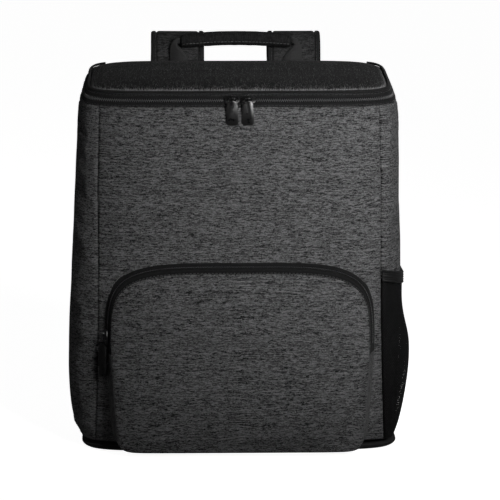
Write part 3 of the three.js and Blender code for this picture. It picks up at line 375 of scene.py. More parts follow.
def pocket_point(angle, across, inset=0.0, scale=1.0, depth_at=None):
    """A point of the front pocket: angle round it, across from its outline (0) to its face's edge (1),
    inset square to the outline, scaled towards its middle."""
    upper = math.sin(angle) >= 0
    power = POCKET_ARCH_POWER if upper else POCKET_FOOT_POWER
    half = POCKET_WIDTH / 2 - across * POCKET_BAND_SIDE - inset
    if upper:
        rise = POCKET_RISE - across * POCKET_BAND_TOP - inset
    else:
        rise = POCKET_DROP + across * POCKET_HANG - inset
    crowded = turn_to_angle(angle, half, rise)
    reach = outline_reach(crowded, half, rise, power) * scale
    down = max(0, -reach * math.sin(crowded) / POCKET_DROP)
    x = reach * math.cos(crowded) * (1 - 2 * POCKET_TAPER / POCKET_WIDTH * down)
    z = POCKET_WAIST + reach * math.sin(crowded)
    depth = depth_at(z) if depth_at else across * pocket_edge_depth(z)
    return Vector((x, front_face_y(x, z) - GAP - depth, z))


def pocket_edge_depth(z):
    return POCKET_DEPTH * column_at(POCKET_EDGE, "depth", (z - POCKET_FOOT) / (POCKET_TOP - POCKET_FOOT))


def smooth_line(points, count):
    """Evenly spaced points on a centripetal curve through a few points."""
    p = [np.array(point) for point in points]
    p = [2 * p[0] - p[1], *p, 2 * p[-1] - p[-2]]
    fine = []
    for i in range(1, len(p) - 2):
        t = [0.0]
        for k in range(3):
            t.append(t[-1] + max(np.linalg.norm(p[i + k] - p[i + k - 1]), 1e-6) ** 0.5)
        for s in np.linspace(t[1], t[2], 24, endpoint=i == len(p) - 3):
            a = [
                ((t[k + 1] - s) * p[i + k - 1] + (s - t[k]) * p[i + k]) / (t[k + 1] - t[k])
                for k in range(3)
            ]
            b = [((t[k + 2] - s) * a[k] + (s - t[k]) * a[k + 1]) / (t[k + 2] - t[k]) for k in range(2)]
            fine.append(((t[2] - s) * b[0] + (s - t[1]) * b[1]) / (t[2] - t[1]))
    return [Vector(point) for point in even_points(np.array(fine), count)]


def even_points(line, count):
    """A line of points again, evenly spaced."""
    lengths = np.concatenate([[0], np.cumsum(np.linalg.norm(np.diff(line, axis=0), axis=1))])
    stations = np.linspace(0, lengths[-1], count + 1)
    return np.stack([np.interp(stations, lengths, line[:, k]) for k in range(3)], axis=1)


def heading_at(points, k):
    return (points[min(k + 1, len(points) - 1)] - points[max(k - 1, 0)]).normalized()


def square_to(direction, along):
    return (direction - along * direction.dot(along)).normalized()


def rolled(distance, radius):
    """How far a face has fallen away where it is near its sewn edge."""
    if distance >= radius:
        return 0.0
    return radius - math.sqrt(max(0.0, radius**2 - (radius - distance) ** 2))


def spaced(length, step, edge):
    """Stations along a length, crowded at both ends, as shares of it."""
    near = [0, 0.08 * edge, 0.3 * edge, 0.6 * edge, edge]
    count = max(1, round((length - 2 * edge) / step))
    middle = [mix(edge, length - edge, k / count) for k in range(1, count)]
    return [s / length for s in [*near, *middle, *(length - s for s in reversed(near))]]


def relief(x, y, size, seed):
    """Gentle unevenness of cloth over foam, about 1 high."""
    spot = Vector((x / size, y / size, seed))
    return noise.noise(spot) + 0.5 * noise.noise(spot * 2.3 + Vector((7, 3, 1)))


def pucker(along, distance, seed, pitch=9 * MM, reach=9 * MM):
    """Small gathers that run off a sewn edge."""
    wave = noise.noise(Vector((along / pitch, distance / (3 * reach), seed)))
    return wave * math.exp(-distance / reach)


# Meshes


def outward(obj):
    """Turns a closed mesh's faces out."""
    mesh = bmesh.new()
    mesh.from_mesh(obj.data)
    if mesh.calc_volume(signed=True) < 0:
        bmesh.ops.reverse_faces(mesh, faces=mesh.faces)
    mesh.to_mesh(obj.data)
    mesh.free()


def add_mesh(name, points, faces, material, uvs=None, sharp=SHARP_EDGE):
    """A piece from its corners and faces, with the place of each corner on the flat cloth."""
    mesh = bpy.data.meshes.new(name)
    mesh.from_pydata([tuple(p) for p in points], [], faces)
    layer = mesh.uv_layers.new(name="cloth")
    if uvs is not None:
        flat = np.array(uvs)[np.array([loop.vertex_index for loop in mesh.loops])]
        layer.data.foreach_set("uv", flat.ravel())
    mesh.materials.append(material)
    mesh.shade_smooth()
    obj = bpy.data.objects.new(name, mesh)
    bpy.context.scene.collection.objects.link(obj)
    outward(obj)
    mesh.set_sharp_from_angle(angle=sharp)
    return obj


def grid_faces(rows, columns, offset=0, wrap=False):
    faces = []
    for r in range(rows - 1):
        for c in range(columns if wrap else columns - 1):
            a = offset + r * columns + c
            b = offset + r * columns + (c + 1) % columns
            faces.append((a, b, b + columns, a + columns))
    return faces


def sheet_mesh(name, outer, inner, uvs, material):
    """A closed sheet between two grids of points, stored row by row."""
    rows, columns = len(outer), len(outer[0])
    count = rows * columns
    points = [p for row in outer for p in row] + [p for row in inner for p in row]
    faces = grid_faces(rows, columns)
    faces += [tuple(reversed(face)) for face in grid_faces(rows, columns, count)]
    border = [c for c in range(columns - 1)]
    border += [r * columns + columns - 1 for r in range(rows - 1)]
    border += [count - 1 - c for c in range(columns - 1)]
    border += [(rows - 1 - r) * columns for r in range(rows - 1)]
    for a, b in zip(border, border[1:] + border[:1]):
        faces.append((b, a, a + count, b + count))
    flat = [uv for row in uvs for uv in row]
    return add_mesh(name, points, faces, material, flat + flat)


def layers_of(rows):
    """Outer face, inner face and flat cloth of a grid whose corners each list all three."""
    return [[[corner[k] for corner in row] for row in rows] for k in range(3)]


def capped(faces, sides, count):
    """Closes both ends of a tube with as many sides, whose corners number count."""
    return [*faces, tuple(range(sides)), tuple(reversed(range(count - sides, count)))]


def ring_mesh(name, rings, material, uvs=None):
    """A closed body through rings of as many points each."""
    count = len(rings[0])
    points = [p for ring in rings for p in ring]
    faces = capped(grid_faces(len(rings), count, wrap=True), count, len(points))
    return add_mesh(name, points, faces, material, uvs)


def band_rings(points, across, section):
    """Rings of a section along a line. A section lists places across and off the line."""
    rings = []
    for k, point in enumerate(points):
        along = heading_at(points, k)
        side = square_to(across[k] if isinstance(across, list) else across, along)
        normal = along.cross(side).normalized()
        shape = section(k / (len(points) - 1))
        rings.append([point + side * w + normal * t for w, t in shape])
    return rings


def band_uvs(rings):
    """Flat cloth of a band: across its ring, and along it."""
    uvs = []
    along = 0.0
    for k, ring in enumerate(rings):
        if k:
            along += (ring[0] - rings[k - 1][0]).length
        around = 0.0
        for j, point in enumerate(ring):
            if j:
                around += (point - ring[j - 1]).length
            uvs.append((around, along))
    return uvs


def rounded_section(width, thick, radius, steps=3):
    """Half of a rounded rectangle's corners at a time, as places across and off the middle."""
    shape = []
    radius = min(radius, thick / 2 * 0.98)
    for cx, cy, start in ((1, 1, 0), (-1, 1, 90), (-1, -1, 180), (1, -1, 270)):
        for k in range(steps + 1):
            angle = math.radians(start + 90 * k / steps)
            x = cx * (width / 2 - radius) + radius * math.cos(angle)
            y = cy * (thick / 2 - radius) + radius * math.sin(angle)
            shape.append((x, y))
    return shape


def copies_mesh(name, shape, faces, places, material):
    """Many copies of a small closed shape, fused into one mesh. A place is a point with three axes."""
    shape = np.array(shape)
    points = []
    every = []
    for k, (spot, x, y, z) in enumerate(places):
        axes = np.array([x, y, z])
        points.append(shape @ axes + np.array(spot))
        every += [tuple(i + k * len(shape) for i in face) for face in faces]
    return add_mesh(name, np.concatenate(points), every, material, sharp=math.radians(50))


def capsule(length, width, height, sides=6):
    """A short rounded bar along x that lies on its middle plane."""
    stations = ((-0.5, 0.35), (-0.38, 0.9), (0.38, 0.9), (0.5, 0.35))
    points = []
    for along, size in stations:
        for k in range(sides):
            angle = 2 * math.pi * (k + 0.5) / sides
            across = size * width / 2 * math.cos(angle)
            points.append((along * length, across, size * height / 2 * math.sin(angle)))
    return points, capped(grid_faces(len(stations), sides, wrap=True), sides, len(points))


def stations_along(points, facings, pitch, start=0.0):
    """Evenly spaced places on a line: the point, and axes along it, off its facing and out of it."""
    line = np.array([tuple(p) for p in points])
    faces = np.array([tuple(f) for f in facings])
    lengths = np.concatenate([[0], np.cumsum(np.linalg.norm(np.diff(line, axis=0), axis=1))])
    count = int((lengths[-1] - 2 * start) / pitch)
    places = []
    for k in range(count + 1):
        s = start + (lengths[-1] - 2 * start) * k / max(count, 1)
        spot, ahead, behind = (
            np.array([np.interp(clamp(s + d, 0, lengths[-1]), lengths, line[:, j]) for j in range(3)])
            for d in (0, pitch / 3, -pitch / 3)
        )
        out = Vector([np.interp(s, lengths, faces[:, j]) for j in range(3)])
        along = Vector(ahead - behind).normalized()
        out = square_to(out, along)
        places.append((Vector(spot), along, out.cross(along), out))
    return places


def stitch_row(name, points, facings, sizes, thread, start=0.0):
    """A row of stitches along a line on the cloth."""
    pitch = sizes.stitch_length + sizes.stitch_gap
    shape, faces = capsule(sizes.stitch_length, sizes.thread, sizes.thread * 0.8)
    places = stations_along(points, facings, pitch, start)
    return dress(copies_mesh(name, shape, faces, places, material_of(thread)), "black_cloth")


CLOTH_FRAMES = 20
CLOTH_REACH = 3 * MM
CLOTH_GROWTH = 0.03
CLOTH_PRESSURE = 3


def settle(obj, held):
    """Lets the outer layer of a padded piece, its first corners, swell and wrinkle between its seams.
    Held gives how firmly each of those corners is sewn down."""
    count = len(held)
    mesh = obj.data
    faces = [tuple(p.vertices) for p in mesh.polygons if max(p.vertices) < count]
    layer = bpy.data.meshes.new("cloth_layer")
    layer.from_pydata([v.co[:] for v in mesh.vertices[:count]], [], faces)
    cloth = bpy.data.objects.new("cloth_layer", layer)
    bpy.context.scene.collection.objects.link(cloth)
    group = cloth.vertex_groups.new(name="sewn")
    for k, weight in enumerate(held):
        group.add([k], weight, "REPLACE")
    modifier = cloth.modifiers.new("cloth", "CLOTH")
    settings = modifier.settings
    settings.quality = 4
    settings.mass = 0.2
    settings.tension_stiffness = settings.compression_stiffness = 20
    settings.shear_stiffness = 8
    settings.bending_stiffness = 0.3
    settings.shrink_min = -CLOTH_GROWTH
    settings.vertex_group_mass = "sewn"
    settings.use_pressure = True
    settings.uniform_pressure_force = CLOTH_PRESSURE
    settings.effector_weights.gravity = 0
    modifier.point_cache.frame_start = 1
    modifier.point_cache.frame_end = CLOTH_FRAMES
    scene = bpy.context.scene
    for k in range(1, CLOTH_FRAMES + 1):
        scene.frame_set(k)
    made = cloth.evaluated_get(bpy.context.evaluated_depsgraph_get()).to_mesh()
    for k in range(count):
        move = made.vertices[k].co - mesh.vertices[k].co
        mesh.vertices[k].co += move * (CLOTH_REACH / max(CLOTH_REACH, move.length))
    bpy.data.objects.remove(cloth)
    scene.frame_set(1)
    mesh.set_sharp_from_angle(angle=SHARP_EDGE)


def sewn_edge(grid, reach=10 * MM):
    """How firmly each corner of a grid is held: sewn at the border, free from reach onwards."""
    held = []
    for row in grid:
        for c, point in enumerate(row):
            border = [row[0], row[-1], grid[0][c], grid[-1][c]]
            near = min((point - other).length for other in border)
            held.append(1 - smoothstep(near, 2 * MM, reach))
    return held


def dress(obj, slot, *nodes, body=BAG):
    """Fixes a piece to its body and hides the frame's pieces that it stands for. The slot, its finish, is not
    used.
    """
    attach(obj, body)
    if nodes:
        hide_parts(*nodes)
    return obj


# Materials


def paler(colour, share, more=0.0):
    return tuple(min(1, c * share + more) for c in colour)


class Shades:
    """Builds one material's nodes."""

    def __init__(self, name):
        self.material = bpy.data.materials.new(name)
        self.material.use_nodes = True
        self.tree = self.material.node_tree
        self.shader = self.tree.nodes["Principled BSDF"]

    def node(self, kind, **settings):
        made = self.tree.nodes.new(kind)
        for key, value in settings.items():
            if key in made.inputs:
                made.inputs[key].default_value = value
            else:
                setattr(made, key, value)
        return made

    def link(self, source, target):
        self.tree.links.new(source, target)

    def math(self, operation, a, b=None, c=None):
        made = self.node("ShaderNodeMath", operation=operation)
        for socket, value in zip(made.inputs, (a, b, c)):
            if value is None:
                continue
            if isinstance(value, (int, float)):
                socket.default_value = value
            else:
                self.link(value, socket)
        return made.outputs[0]

    def cloth_place(self):
        """The cloth's own coordinates, in metres along and up the weave."""
        return self.separate(self.node("ShaderNodeUVMap", uv_map="cloth").outputs["UV"])

    def object_place(self):
        return self.node("ShaderNodeTexCoord").outputs["Object"]

    def separate(self, vector):
        made = self.node("ShaderNodeSeparateXYZ")
        self.link(vector, made.inputs[0])
        return made.outputs

    def combine(self, x, y, z=0.0):
        made = self.node("ShaderNodeCombineXYZ")
        for socket, value in zip(made.inputs, (x, y, z)):
            if isinstance(value, (int, float)):
                socket.default_value = value
            else:
                self.link(value, socket)
        return made.outputs[0]

    def noise(self, vector, scale, detail):
        made = self.node("ShaderNodeTexNoise", Scale=scale, Detail=detail, Roughness=0.5)
        self.link(vector, made.inputs["Vector"])
        return made.outputs["Fac"]

    def mixed(self, share, a, b):
        """Two colours mixed by a share."""
        made = self.node("ShaderNodeMix", data_type="RGBA")
        self.link(share, made.inputs["Factor"])
        made.inputs[6].default_value = (*a, 1)
        made.inputs[7].default_value = (*b, 1)
        return made.outputs[2]

    def ranged(self, value, from_low, from_high, to_low=0.0, to_high=1.0):
        made = self.node("ShaderNodeMapRange")
        self.link(value, made.inputs[0])
        for socket, number in zip(made.inputs[1:5], (from_low, from_high, to_low, to_high)):
            socket.default_value = number
        return made.outputs[0]

    def bump(self, height, distance, strength):
        made = self.node("ShaderNodeBump", Strength=strength, Distance=distance)
        self.link(height, made.inputs["Height"])
        return made.outputs[0]

    def finish(self, colour, roughness, normal=None, **constants):
        self.link(colour, self.shader.inputs["Base Color"])
        if isinstance(roughness, (int, float)):
            self.shader.inputs["Roughness"].default_value = roughness
        else:
            self.link(roughness, self.shader.inputs["Roughness"])
        if normal:
            self.link(normal, self.shader.inputs["Normal"])
        for key, value in constants.items():
            socket = key.replace("_", " ").title().replace("Ior", "IOR")
            self.shader.inputs[socket].default_value = value
        return self.material


def yarn_flecks(shades, along, up, yarn, length, seed):
    """Each yarn changes its shade every so often, each row by itself."""
    row = shades.math("FLOOR", shades.math("DIVIDE", up, yarn))
    start = shades.node("ShaderNodeTexWhiteNoise", noise_dimensions="1D")
    shades.link(shades.math("ADD", row, seed), start.inputs["W"])
    place = shades.math("ADD", shades.math("DIVIDE", along, length), start.outputs["Value"])
    cell = shades.node("ShaderNodeTexWhiteNoise", noise_dimensions="2D")
    shades.link(shades.combine(shades.math("FLOOR", place), row), cell.inputs["Vector"])
    return cell.outputs["Value"]


def heather_cloth(name, light, dark, yarn, sheen, painted_light_by_facing=0.0):
    """Two-tone woven cloth: dark yarn with paler flecks. Its last argument paints light by facing: a painted
    highlight on faces that stand up, painted shade on faces that look up.
    """
    shades = Shades(name)
    along, up, _ = shades.cloth_place()
    waver = shades.noise(shades.combine(along, up), 90, 2)
    up = shades.math("MULTIPLY_ADD", shades.math("SUBTRACT", waver, 0.5), 2.5 * MM, up)
    flecks = [
        shades.math("MULTIPLY", yarn_flecks(shades, along, up, yarn, length, seed), share)
        for length, seed, share in ((1.3 * MM, 3, 0.36), (3.6 * MM, 41, 0.36), (9 * MM, 97, 0.28))
    ]
    fleck = shades.math("ADD", shades.math("ADD", flecks[0], flecks[1]), flecks[2])
    cloud = shades.noise(shades.combine(along, up), 45, 3)
    tone_at = shades.math("MULTIPLY_ADD", shades.math("SUBTRACT", cloud, 0.5), 0.12, fleck)
    # Painted light by facing: faces that stand up are painted paler as a highlight, faces that look up are
    # painted darker as shade.
    if painted_light_by_facing:
        facing = shades.separate(shades.node("ShaderNodeNewGeometry").outputs["Normal"])
        painted_light_shift = shades.ranged(facing["Z"], 0.97, 0.6, -0.5, 0.5)
        tone_at = shades.math("MULTIPLY_ADD", painted_light_shift, painted_light_by_facing, tone_at)
    colour = shades.mixed(shades.ranged(tone_at, 0.24, 0.82), dark, light)
    weft = shades.math("PINGPONG", shades.math("DIVIDE", up, yarn), 1.0)
    warp = shades.math("PINGPONG", shades.math("DIVIDE", along, yarn * 0.8), 1.0)
    weave = shades.math("MULTIPLY_ADD", warp, 0.35, weft)
    height = shades.math("MULTIPLY_ADD", fleck, 0.8, weave)
    normal = shades.bump(height, 0.2 * MM, 0.5)
    rough = shades.ranged(fleck, 0.2, 0.8, 0.95, 0.8)
    return shades.finish(
        colour, rough, normal, sheen_weight=sheen, sheen_roughness=0.45, specular_ior_level=0.2
    )


def plain_cloth(name, colour, yarn, sheen=0.03):
    """One-colour cloth or tape with a fine twill."""
    shades = Shades(name)
    along, up, _ = shades.cloth_place()
    slant = shades.math("ADD", shades.math("DIVIDE", along, yarn), shades.math("DIVIDE", up, yarn * 1.3))
    twill = shades.math("PINGPONG", slant, 1.0)
    cloud = shades.noise(shades.combine(along, up), 240, 3)
    share = shades.math("MULTIPLY_ADD", twill, 0.35, shades.math("MULTIPLY", cloud, 0.65))
    tone = shades.mixed(share, paler(colour, 0.55), paler(colour, 1.7, 0.002))
    normal = shades.bump(share, 0.2 * MM, 0.5)
    rough = shades.ranged(cloud, 0.3, 0.7, 0.9, 0.78)
    return shades.finish(
        tone, rough, normal, sheen_weight=sheen, sheen_roughness=0.5, specular_ior_level=0.2
    )


def ribbed_webbing(name, colour, rib):
    """Woven strap with ribs across its width and a tight edge."""
    shades = Shades(name)
    along, up, _ = shades.cloth_place()
    ribs = shades.math("PINGPONG", shades.math("DIVIDE", up, rib), 1.0)
    cross = shades.math("PINGPONG", shades.math("DIVIDE", along, rib * 1.6), 1.0)
    weave = shades.math("MULTIPLY", ribs, shades.math("MULTIPLY_ADD", cross, 0.5, 0.5))
    cloud = shades.noise(shades.combine(along, up), 300, 2)
    share = shades.math("MULTIPLY_ADD", weave, 0.6, shades.math("MULTIPLY", cloud, 0.4))
    tone = shades.mixed(share, paler(colour, 0.5), paler(colour, 1.9, 0.003))
    normal = shades.bump(weave, 0.35 * MM, 0.7)
    return shades.finish(tone, 0.62, normal, sheen_weight=0.03, specular_ior_level=0.3)


def moulded(name, colour, gloss):
    """Hard black plastic or enamelled metal with a faint grain and rubbed patches."""
    shades = Shades(name)
    place = shades.object_place()
    cloud = shades.noise(place, 180, 4)
    grit = shades.noise(place, 2600, 2)
    tone = shades.mixed(cloud, paler(colour, 0.7), paler(colour, 1.5))
    rough = shades.ranged(cloud, 0.3, 0.7, gloss - 0.06, gloss + 0.1)
    return shades.finish(tone, rough, shades.bump(grit, 0.05 * MM, 0.4), specular_ior_level=0.5)


def thread_of(name, colour):
    """Twisted sewing thread."""
    shades = Shades(name)
    place = shades.object_place()
    twist = shades.noise(place, 1900, 2)
    tone = shades.mixed(twist, paler(colour, 0.6), paler(colour, 1.4))
    return shades.finish(tone, 0.6, shades.bump(twist, 0.08 * MM, 0.5), sheen_weight=0.2)


def material_of(finish):
    """The finish with this name, made when it is first asked for."""
    name = f"{finish}_finish"
    made = bpy.data.materials.get(name)
    if made:
        return made
    c = bpy.context.scene.backpack_colours
    s = bpy.context.scene.backpack_sizes
    makers = {
        "heather_cloth": lambda: heather_cloth(name, c.heather_light, c.heather_dark, s.yarn, 0.04),
        # The lid's cloth gets painted light by facing: a painted highlight on its front lip, painted shade on
        # its top.
        "lid_cloth": lambda: heather_cloth(name, c.lid_light, c.lid_dark, s.yarn * 0.7, 0.015, 0.75),
        # Straps and yoke: a darker copy of the heather cloth, painted shade where less light reaches them
        # behind the lid.
        "strap_shaded_cloth": lambda: heather_cloth(name, c.strap_shaded_light, c.strap_shaded_dark, s.yarn, 0.005),
        # Handle: a darker copy of the heather cloth, painted shade on the grip.
        "handle_shaded_cloth": lambda: heather_cloth(name, c.handle_shaded_light, c.handle_shaded_dark, s.yarn, 0.002),
        "black_cloth": lambda: plain_cloth(name, c.black_cloth, 0.6 * MM),
        "zip_tape": lambda: plain_cloth(name, c.zip_tape, 0.7 * MM),
        "zip_coil": lambda: moulded(name, c.zip_coil, 0.34),
        "net": lambda: plain_cloth(name, c.net, 0.4 * MM, 0.0),
        # Painted shade: near-black cloth for the side panel behind the net.
        "net_painted_shade": lambda: plain_cloth(name, c.hard_black, 0.6 * MM, 0.0),
        "webbing": lambda: ribbed_webbing(name, c.webbing, 0.8 * MM),
        "hard_black": lambda: moulded(name, c.hard_black, 0.3),
        "thread": lambda: thread_of(name, c.thread),
        "pale_thread": lambda: thread_of(name, c.pale_thread),
    }
    return makers[finish]()


# Settings


def length_setting(name, description, default):
    return FloatProperty(name=name, description=description, default=default, unit="LENGTH")


class BackpackSizes(bpy.types.PropertyGroup):
    """Sizes of the sewing and of the fine surface."""

    cloth_step: length_setting("Cloth step", "Spacing of the cloth's mesh", 4 * MM)
    seam_roll: length_setting("Seam roll", "Radius of a panel's sewn edge", 3 * MM)
    yarn: length_setting("Yarn", "Pitch of the weft yarns", 0.66 * MM)
    lid_coil: length_setting("Lid coil", "Pitch of the lid zip's coil", 2.1 * MM)
    pocket_coil: length_setting("Pocket coil", "Pitch of the pocket zip's coil", 1.7 * MM)
    net_pitch: length_setting("Net pitch", "Distance between holes of the net", 3.1 * MM)
    net_hole: FloatProperty(
        name="Net hole", description="Width of a hole as a share of the pitch", default=0.74, min=0.1, max=0.9
    )
    net_thread: length_setting("Net thread", "Thickness of the net", 0.4 * MM)
    stitch_length: length_setting("Stitch length", "Length of one stitch", 2.6 * MM)
    stitch_gap: length_setting("Stitch gap", "Gap between stitches", 1 * MM)
    thread: length_setting("Thread", "Thickness of the thread", 0.5 * MM)


def colour_setting(name, description, default):
    return FloatVectorProperty(
        name=name, description=description, default=default, size=3, min=0, max=1, subtype="COLOR"
    )


class BackpackColours(bpy.types.PropertyGroup):
    """Colours of the cloths and hard parts."""

    heather_light: colour_setting("Heather light", "Paler yarn of the body cloth", (0.13, 0.13, 0.132))
    heather_dark: colour_setting("Heather dark", "Darker yarn of the body cloth", (0.006, 0.006, 0.0062))
    lid_light: colour_setting("Lid light", "Paler yarn of the lid", (0.17, 0.17, 0.171))
    lid_dark: colour_setting("Lid dark", "Darker yarn of the lid", (0.004, 0.004, 0.0041))
    # Strap yarns: the body's heather darkened, as painted shade.
    strap_shaded_light: colour_setting("Strap light", "Paler yarn of the straps", (0.036, 0.036, 0.0365))
    strap_shaded_dark: colour_setting("Strap dark", "Darker yarn of the straps", (0.003, 0.003, 0.0031))
    # Handle yarns: the body's heather darkened, as painted shade.
    handle_shaded_light: colour_setting("Handle light", "Paler yarn of the handle", (0.012, 0.012, 0.0122))
    handle_shaded_dark: colour_setting("Handle dark", "Darker yarn of the handle", (0.0012, 0.0012, 0.0013))
    black_cloth: colour_setting("Black cloth", "Bindings, base and back", (0.005, 0.005, 0.0052))
    zip_tape: colour_setting("Zip tape", "Tapes on both sides of the coils", (0.0035, 0.0035, 0.0037))
    zip_coil: colour_setting("Zip coil", "Nylon coils", (0.05, 0.05, 0.051))
    net: colour_setting("Net", "Net of the side pocket", (0.0035, 0.0035, 0.0037))
    webbing: colour_setting("Webbing", "Straps, loops and elastic", (0.0022, 0.0022, 0.0023))
    hard_black: colour_setting("Hard black", "Sliders, pullers and adjusters", (0.0006, 0.0006, 0.0007))
    thread: colour_setting("Thread", "Dark sewing thread", (0.015, 0.015, 0.0155))
    pale_thread: colour_setting("Pale thread", "Sewing thread that catches the light", (0.09, 0.09, 0.092))


def light_setting(name, description, default):
    return FloatProperty(name=name, description=description, default=default, min=0)


class BackpackStudio(bpy.types.PropertyGroup):
    """Camera and light."""

    lens: FloatProperty(
        name="Lens", description="Focal length in millimetres", default=217.2, min=20, max=400
    )
    distance: length_setting("Distance", "From the camera to what it aims at", 3)
    elevation: FloatProperty(
        name="Elevation",
        description="Height of the camera as an angle",
        default=math.radians(8),
        subtype="ANGLE",
    )
    azimuth: FloatProperty(
        name="Azimuth",
        description="Turn of the camera round the bag, from its front to its right",
        default=math.radians(-1.5),
        subtype="ANGLE",
    )
    aim: FloatVectorProperty(
        name="Aim", description="Point at the middle of the picture", default=(0.01, -0.091, 0.2052), size=3
    )
    key_power: light_setting("Key light", "Watts", 1.65)
    fill_power: light_setting("Fill light", "Watts", 2)
    front_power: light_setting("Front light", "Watts", 0.6)
    sky: light_setting("Sky", "Strength of the even light", 0.035)
    floor_glow: light_setting("Floor glow", "Light that the floor gives off", 0.96)


# Stage


def add_floor(studio):
    mesh = bpy.data.meshes.new("studio_floor")
    reach = 30  # metres, past the picture's edges
    corners = [(x * reach, y * reach, 0) for x, y in ((-1, -1), (1, -1), (1, 1), (-1, 1))]
    mesh.from_pydata(corners, [], [(0, 1, 2, 3)])
    obj = bpy.data.objects.new("studio_floor", mesh)
    bpy.context.scene.collection.objects.link(obj)
    shades = Shades("studio_floor")
    cloud = shades.noise(shades.object_place(), 0.6, 1)
    tone = shades.mixed(cloud, (0.66, 0.66, 0.66), (0.68, 0.68, 0.68))
    shades.finish(tone, 0.8, emission_strength=studio.floor_glow)
    shades.shader.inputs["Emission Color"].default_value = (1, 1, 1, 1)
    mesh.materials.append(shades.material)
    obj.visible_diffuse = False
    obj.visible_glossy = False


def add_light(name, place, aim, size, power, spread=180):
    """A soft panel of light. Spread is how wide it shines, in degrees."""
    data = bpy.data.lights.new(name, "AREA")
    data.shape = "RECTANGLE"
    data.size, data.size_y = size
    data.energy = power
    data.spread = math.radians(spread)
    obj = bpy.data.objects.new(name, data)
    obj.location = place
    obj.rotation_euler = (Vector(aim) - Vector(place)).to_track_quat("-Z", "Y").to_euler()
    bpy.context.scene.collection.objects.link(obj)


def add_lights(studio):
    world = bpy.data.worlds.new("studio_light")
    world.use_nodes = True
    world.node_tree.nodes["Background"].inputs["Color"].default_value = (1, 1, 1, 1)
    world.node_tree.nodes["Background"].inputs["Strength"].default_value = studio.sky
    bpy.context.scene.world = world
    middle = (0, 0, 0.25)
    add_light("key_light", (0.45, -1.05, 0.66), (0.17, -0.1, 0.36), (0.5, 0.5), studio.key_power, 46)
    add_light("fill_light", (-1.7, -1.3, 0.6), middle, (1.0, 1.0), studio.fill_power)
    add_light("front_light", (-0.3, -2.6, 0.55), middle, (1.6, 0.8), studio.front_power)


def add_camera(studio):
    data = bpy.data.cameras.new("camera")
    data.lens = studio.lens
    data.sensor_width = 36
    data.clip_end = 100
    obj = bpy.data.objects.new("camera", data)
    a, e = studio.azimuth, studio.elevation
    back = Vector((math.sin(a) * math.cos(e), -math.cos(a) * math.cos(e), math.sin(e)))
    obj.location = Vector(studio.aim) + back * studio.distance
    obj.rotation_euler = (-back).to_track_quat("-Z", "Y").to_euler()
    scene = bpy.context.scene
    scene.collection.objects.link(obj)
    scene.camera = obj
    scene.view_settings.view_transform = "Standard"
    scene.view_settings.look = "None"


# Body panels


def panel_grid(point_at, width, height, sizes, seed):
    """Layers of a sewn panel. point_at takes across, up and inset."""
    rows = []
    for v in spaced(height, sizes.cloth_step, 3 * sizes.seam_roll):
        row = []
        for u in spaced(width, sizes.cloth_step, 3 * sizes.seam_roll):
            aside = min(u, 1 - u) * width
            above = min(v, 1 - v) * height
            edge = min(aside, above)
            fall = max(rolled(aside, sizes.seam_roll), rolled(above, sizes.seam_roll))
            fade = smoothstep(edge, 0, 25 * MM)
            gather = 0.5 * MM * smoothstep(edge, 0, 3 * MM)
            bulge = 0.35 * MM * fade * relief(u * width, v * height, 45 * MM, seed)
            bulge += gather * pucker(v * height, aside, seed + 3)
            bulge += gather * pucker(u * width, above, seed + 5)
            row.append((point_at(u, v, fall - bulge), point_at(u, v, WALL), (u * width, v * height)))
        rows.append(row)
    return layers_of(rows)


def add_face_panel(name, side, sizes, slot, seed):
    height = rim_height(side * BODY_DEPTH / 2) - PANEL_FOOT
    grids = panel_grid(
        lambda u, v, inset: face_point(side, u, v, inset), 2 * SEAM_FOOT, height, sizes, seed
    )
    obj = sheet_mesh(f"{name}_cloth", *grids, material_of(slot))
    settle(obj, sewn_edge(grids[0]))
    dress(obj, slot, name)


def add_side_panel(name, middle, sizes, seed):
    height = rim_height(0) - PANEL_FOOT

    def point_at(u, v, inset):
        return body_point(middle + (2 * u - 1) * seam_turn(v), v, inset)

    grids = panel_grid(point_at, BODY_DEPTH, height, sizes, seed)
    obj = sheet_mesh(f"{name}_cloth", *grids, material_of("heather_cloth"))
    settle(obj, sewn_edge(grids[0]))
    if name == "side_panel_right":
        # Paints shade on the right panel behind the net.
        shade_behind_net(obj)
    dress(obj, "heather_cloth", name)


def shade_behind_net(obj):
    """The panel is painted near black behind the net, as painted shade where the net shades it."""
    obj.data.materials.append(material_of("net_painted_shade"))
    for polygon in obj.data.polygons:
        z = polygon.center.z
        around = clamp(0.5 + polygon.center.y / BODY_DEPTH)
        if z < side_pocket_rim(around) + ELASTIC_WIDTH / 2:
            polygon.material_index = 1


def body_ring(share, inset, height_at, count=160):
    """A ring round the body at a share of its height and inset from its outline there."""
    a, b = section_at(share)
    ring = []
    for k in range(count):
        angle = turn_to_angle(2 * math.pi * k / count, a, b)
        reach = outline_reach(angle, a - inset, b - inset, CORNER_POWER)
        y = reach * math.sin(angle)
        ring.append(Vector((reach * math.cos(angle), y, height_at(y))))
    return ring


def flat_uvs(rings):
    return [(p.x, p.y) for ring in rings for p in ring]


def add_base():
    """Black board with a turned-up rim."""

    def ring_at(inset, z):
        return body_ring(0, inset, lambda y: z)

    rings = [ring_at(BODY_DEPTH / 4, BASE_BOARD), ring_at(0.6 * BASE_ROUND, BASE_BOARD)]
    rings.append(ring_at(0.6 * BASE_ROUND, BASE_RIM * 0.95))
    rings += [ring_at(row.inset * BASE_ROUND, row.height * BASE_RIM) for row in BASE_PROFILE]
    obj = ring_mesh("base_board", rings, material_of("black_cloth"), flat_uvs(rings))
    rim = [f"base_rim_{side}" for side in ("front", "back", "left", "right")]
    dress(obj, "black_cloth", "base_panel", *rim)


# Lid


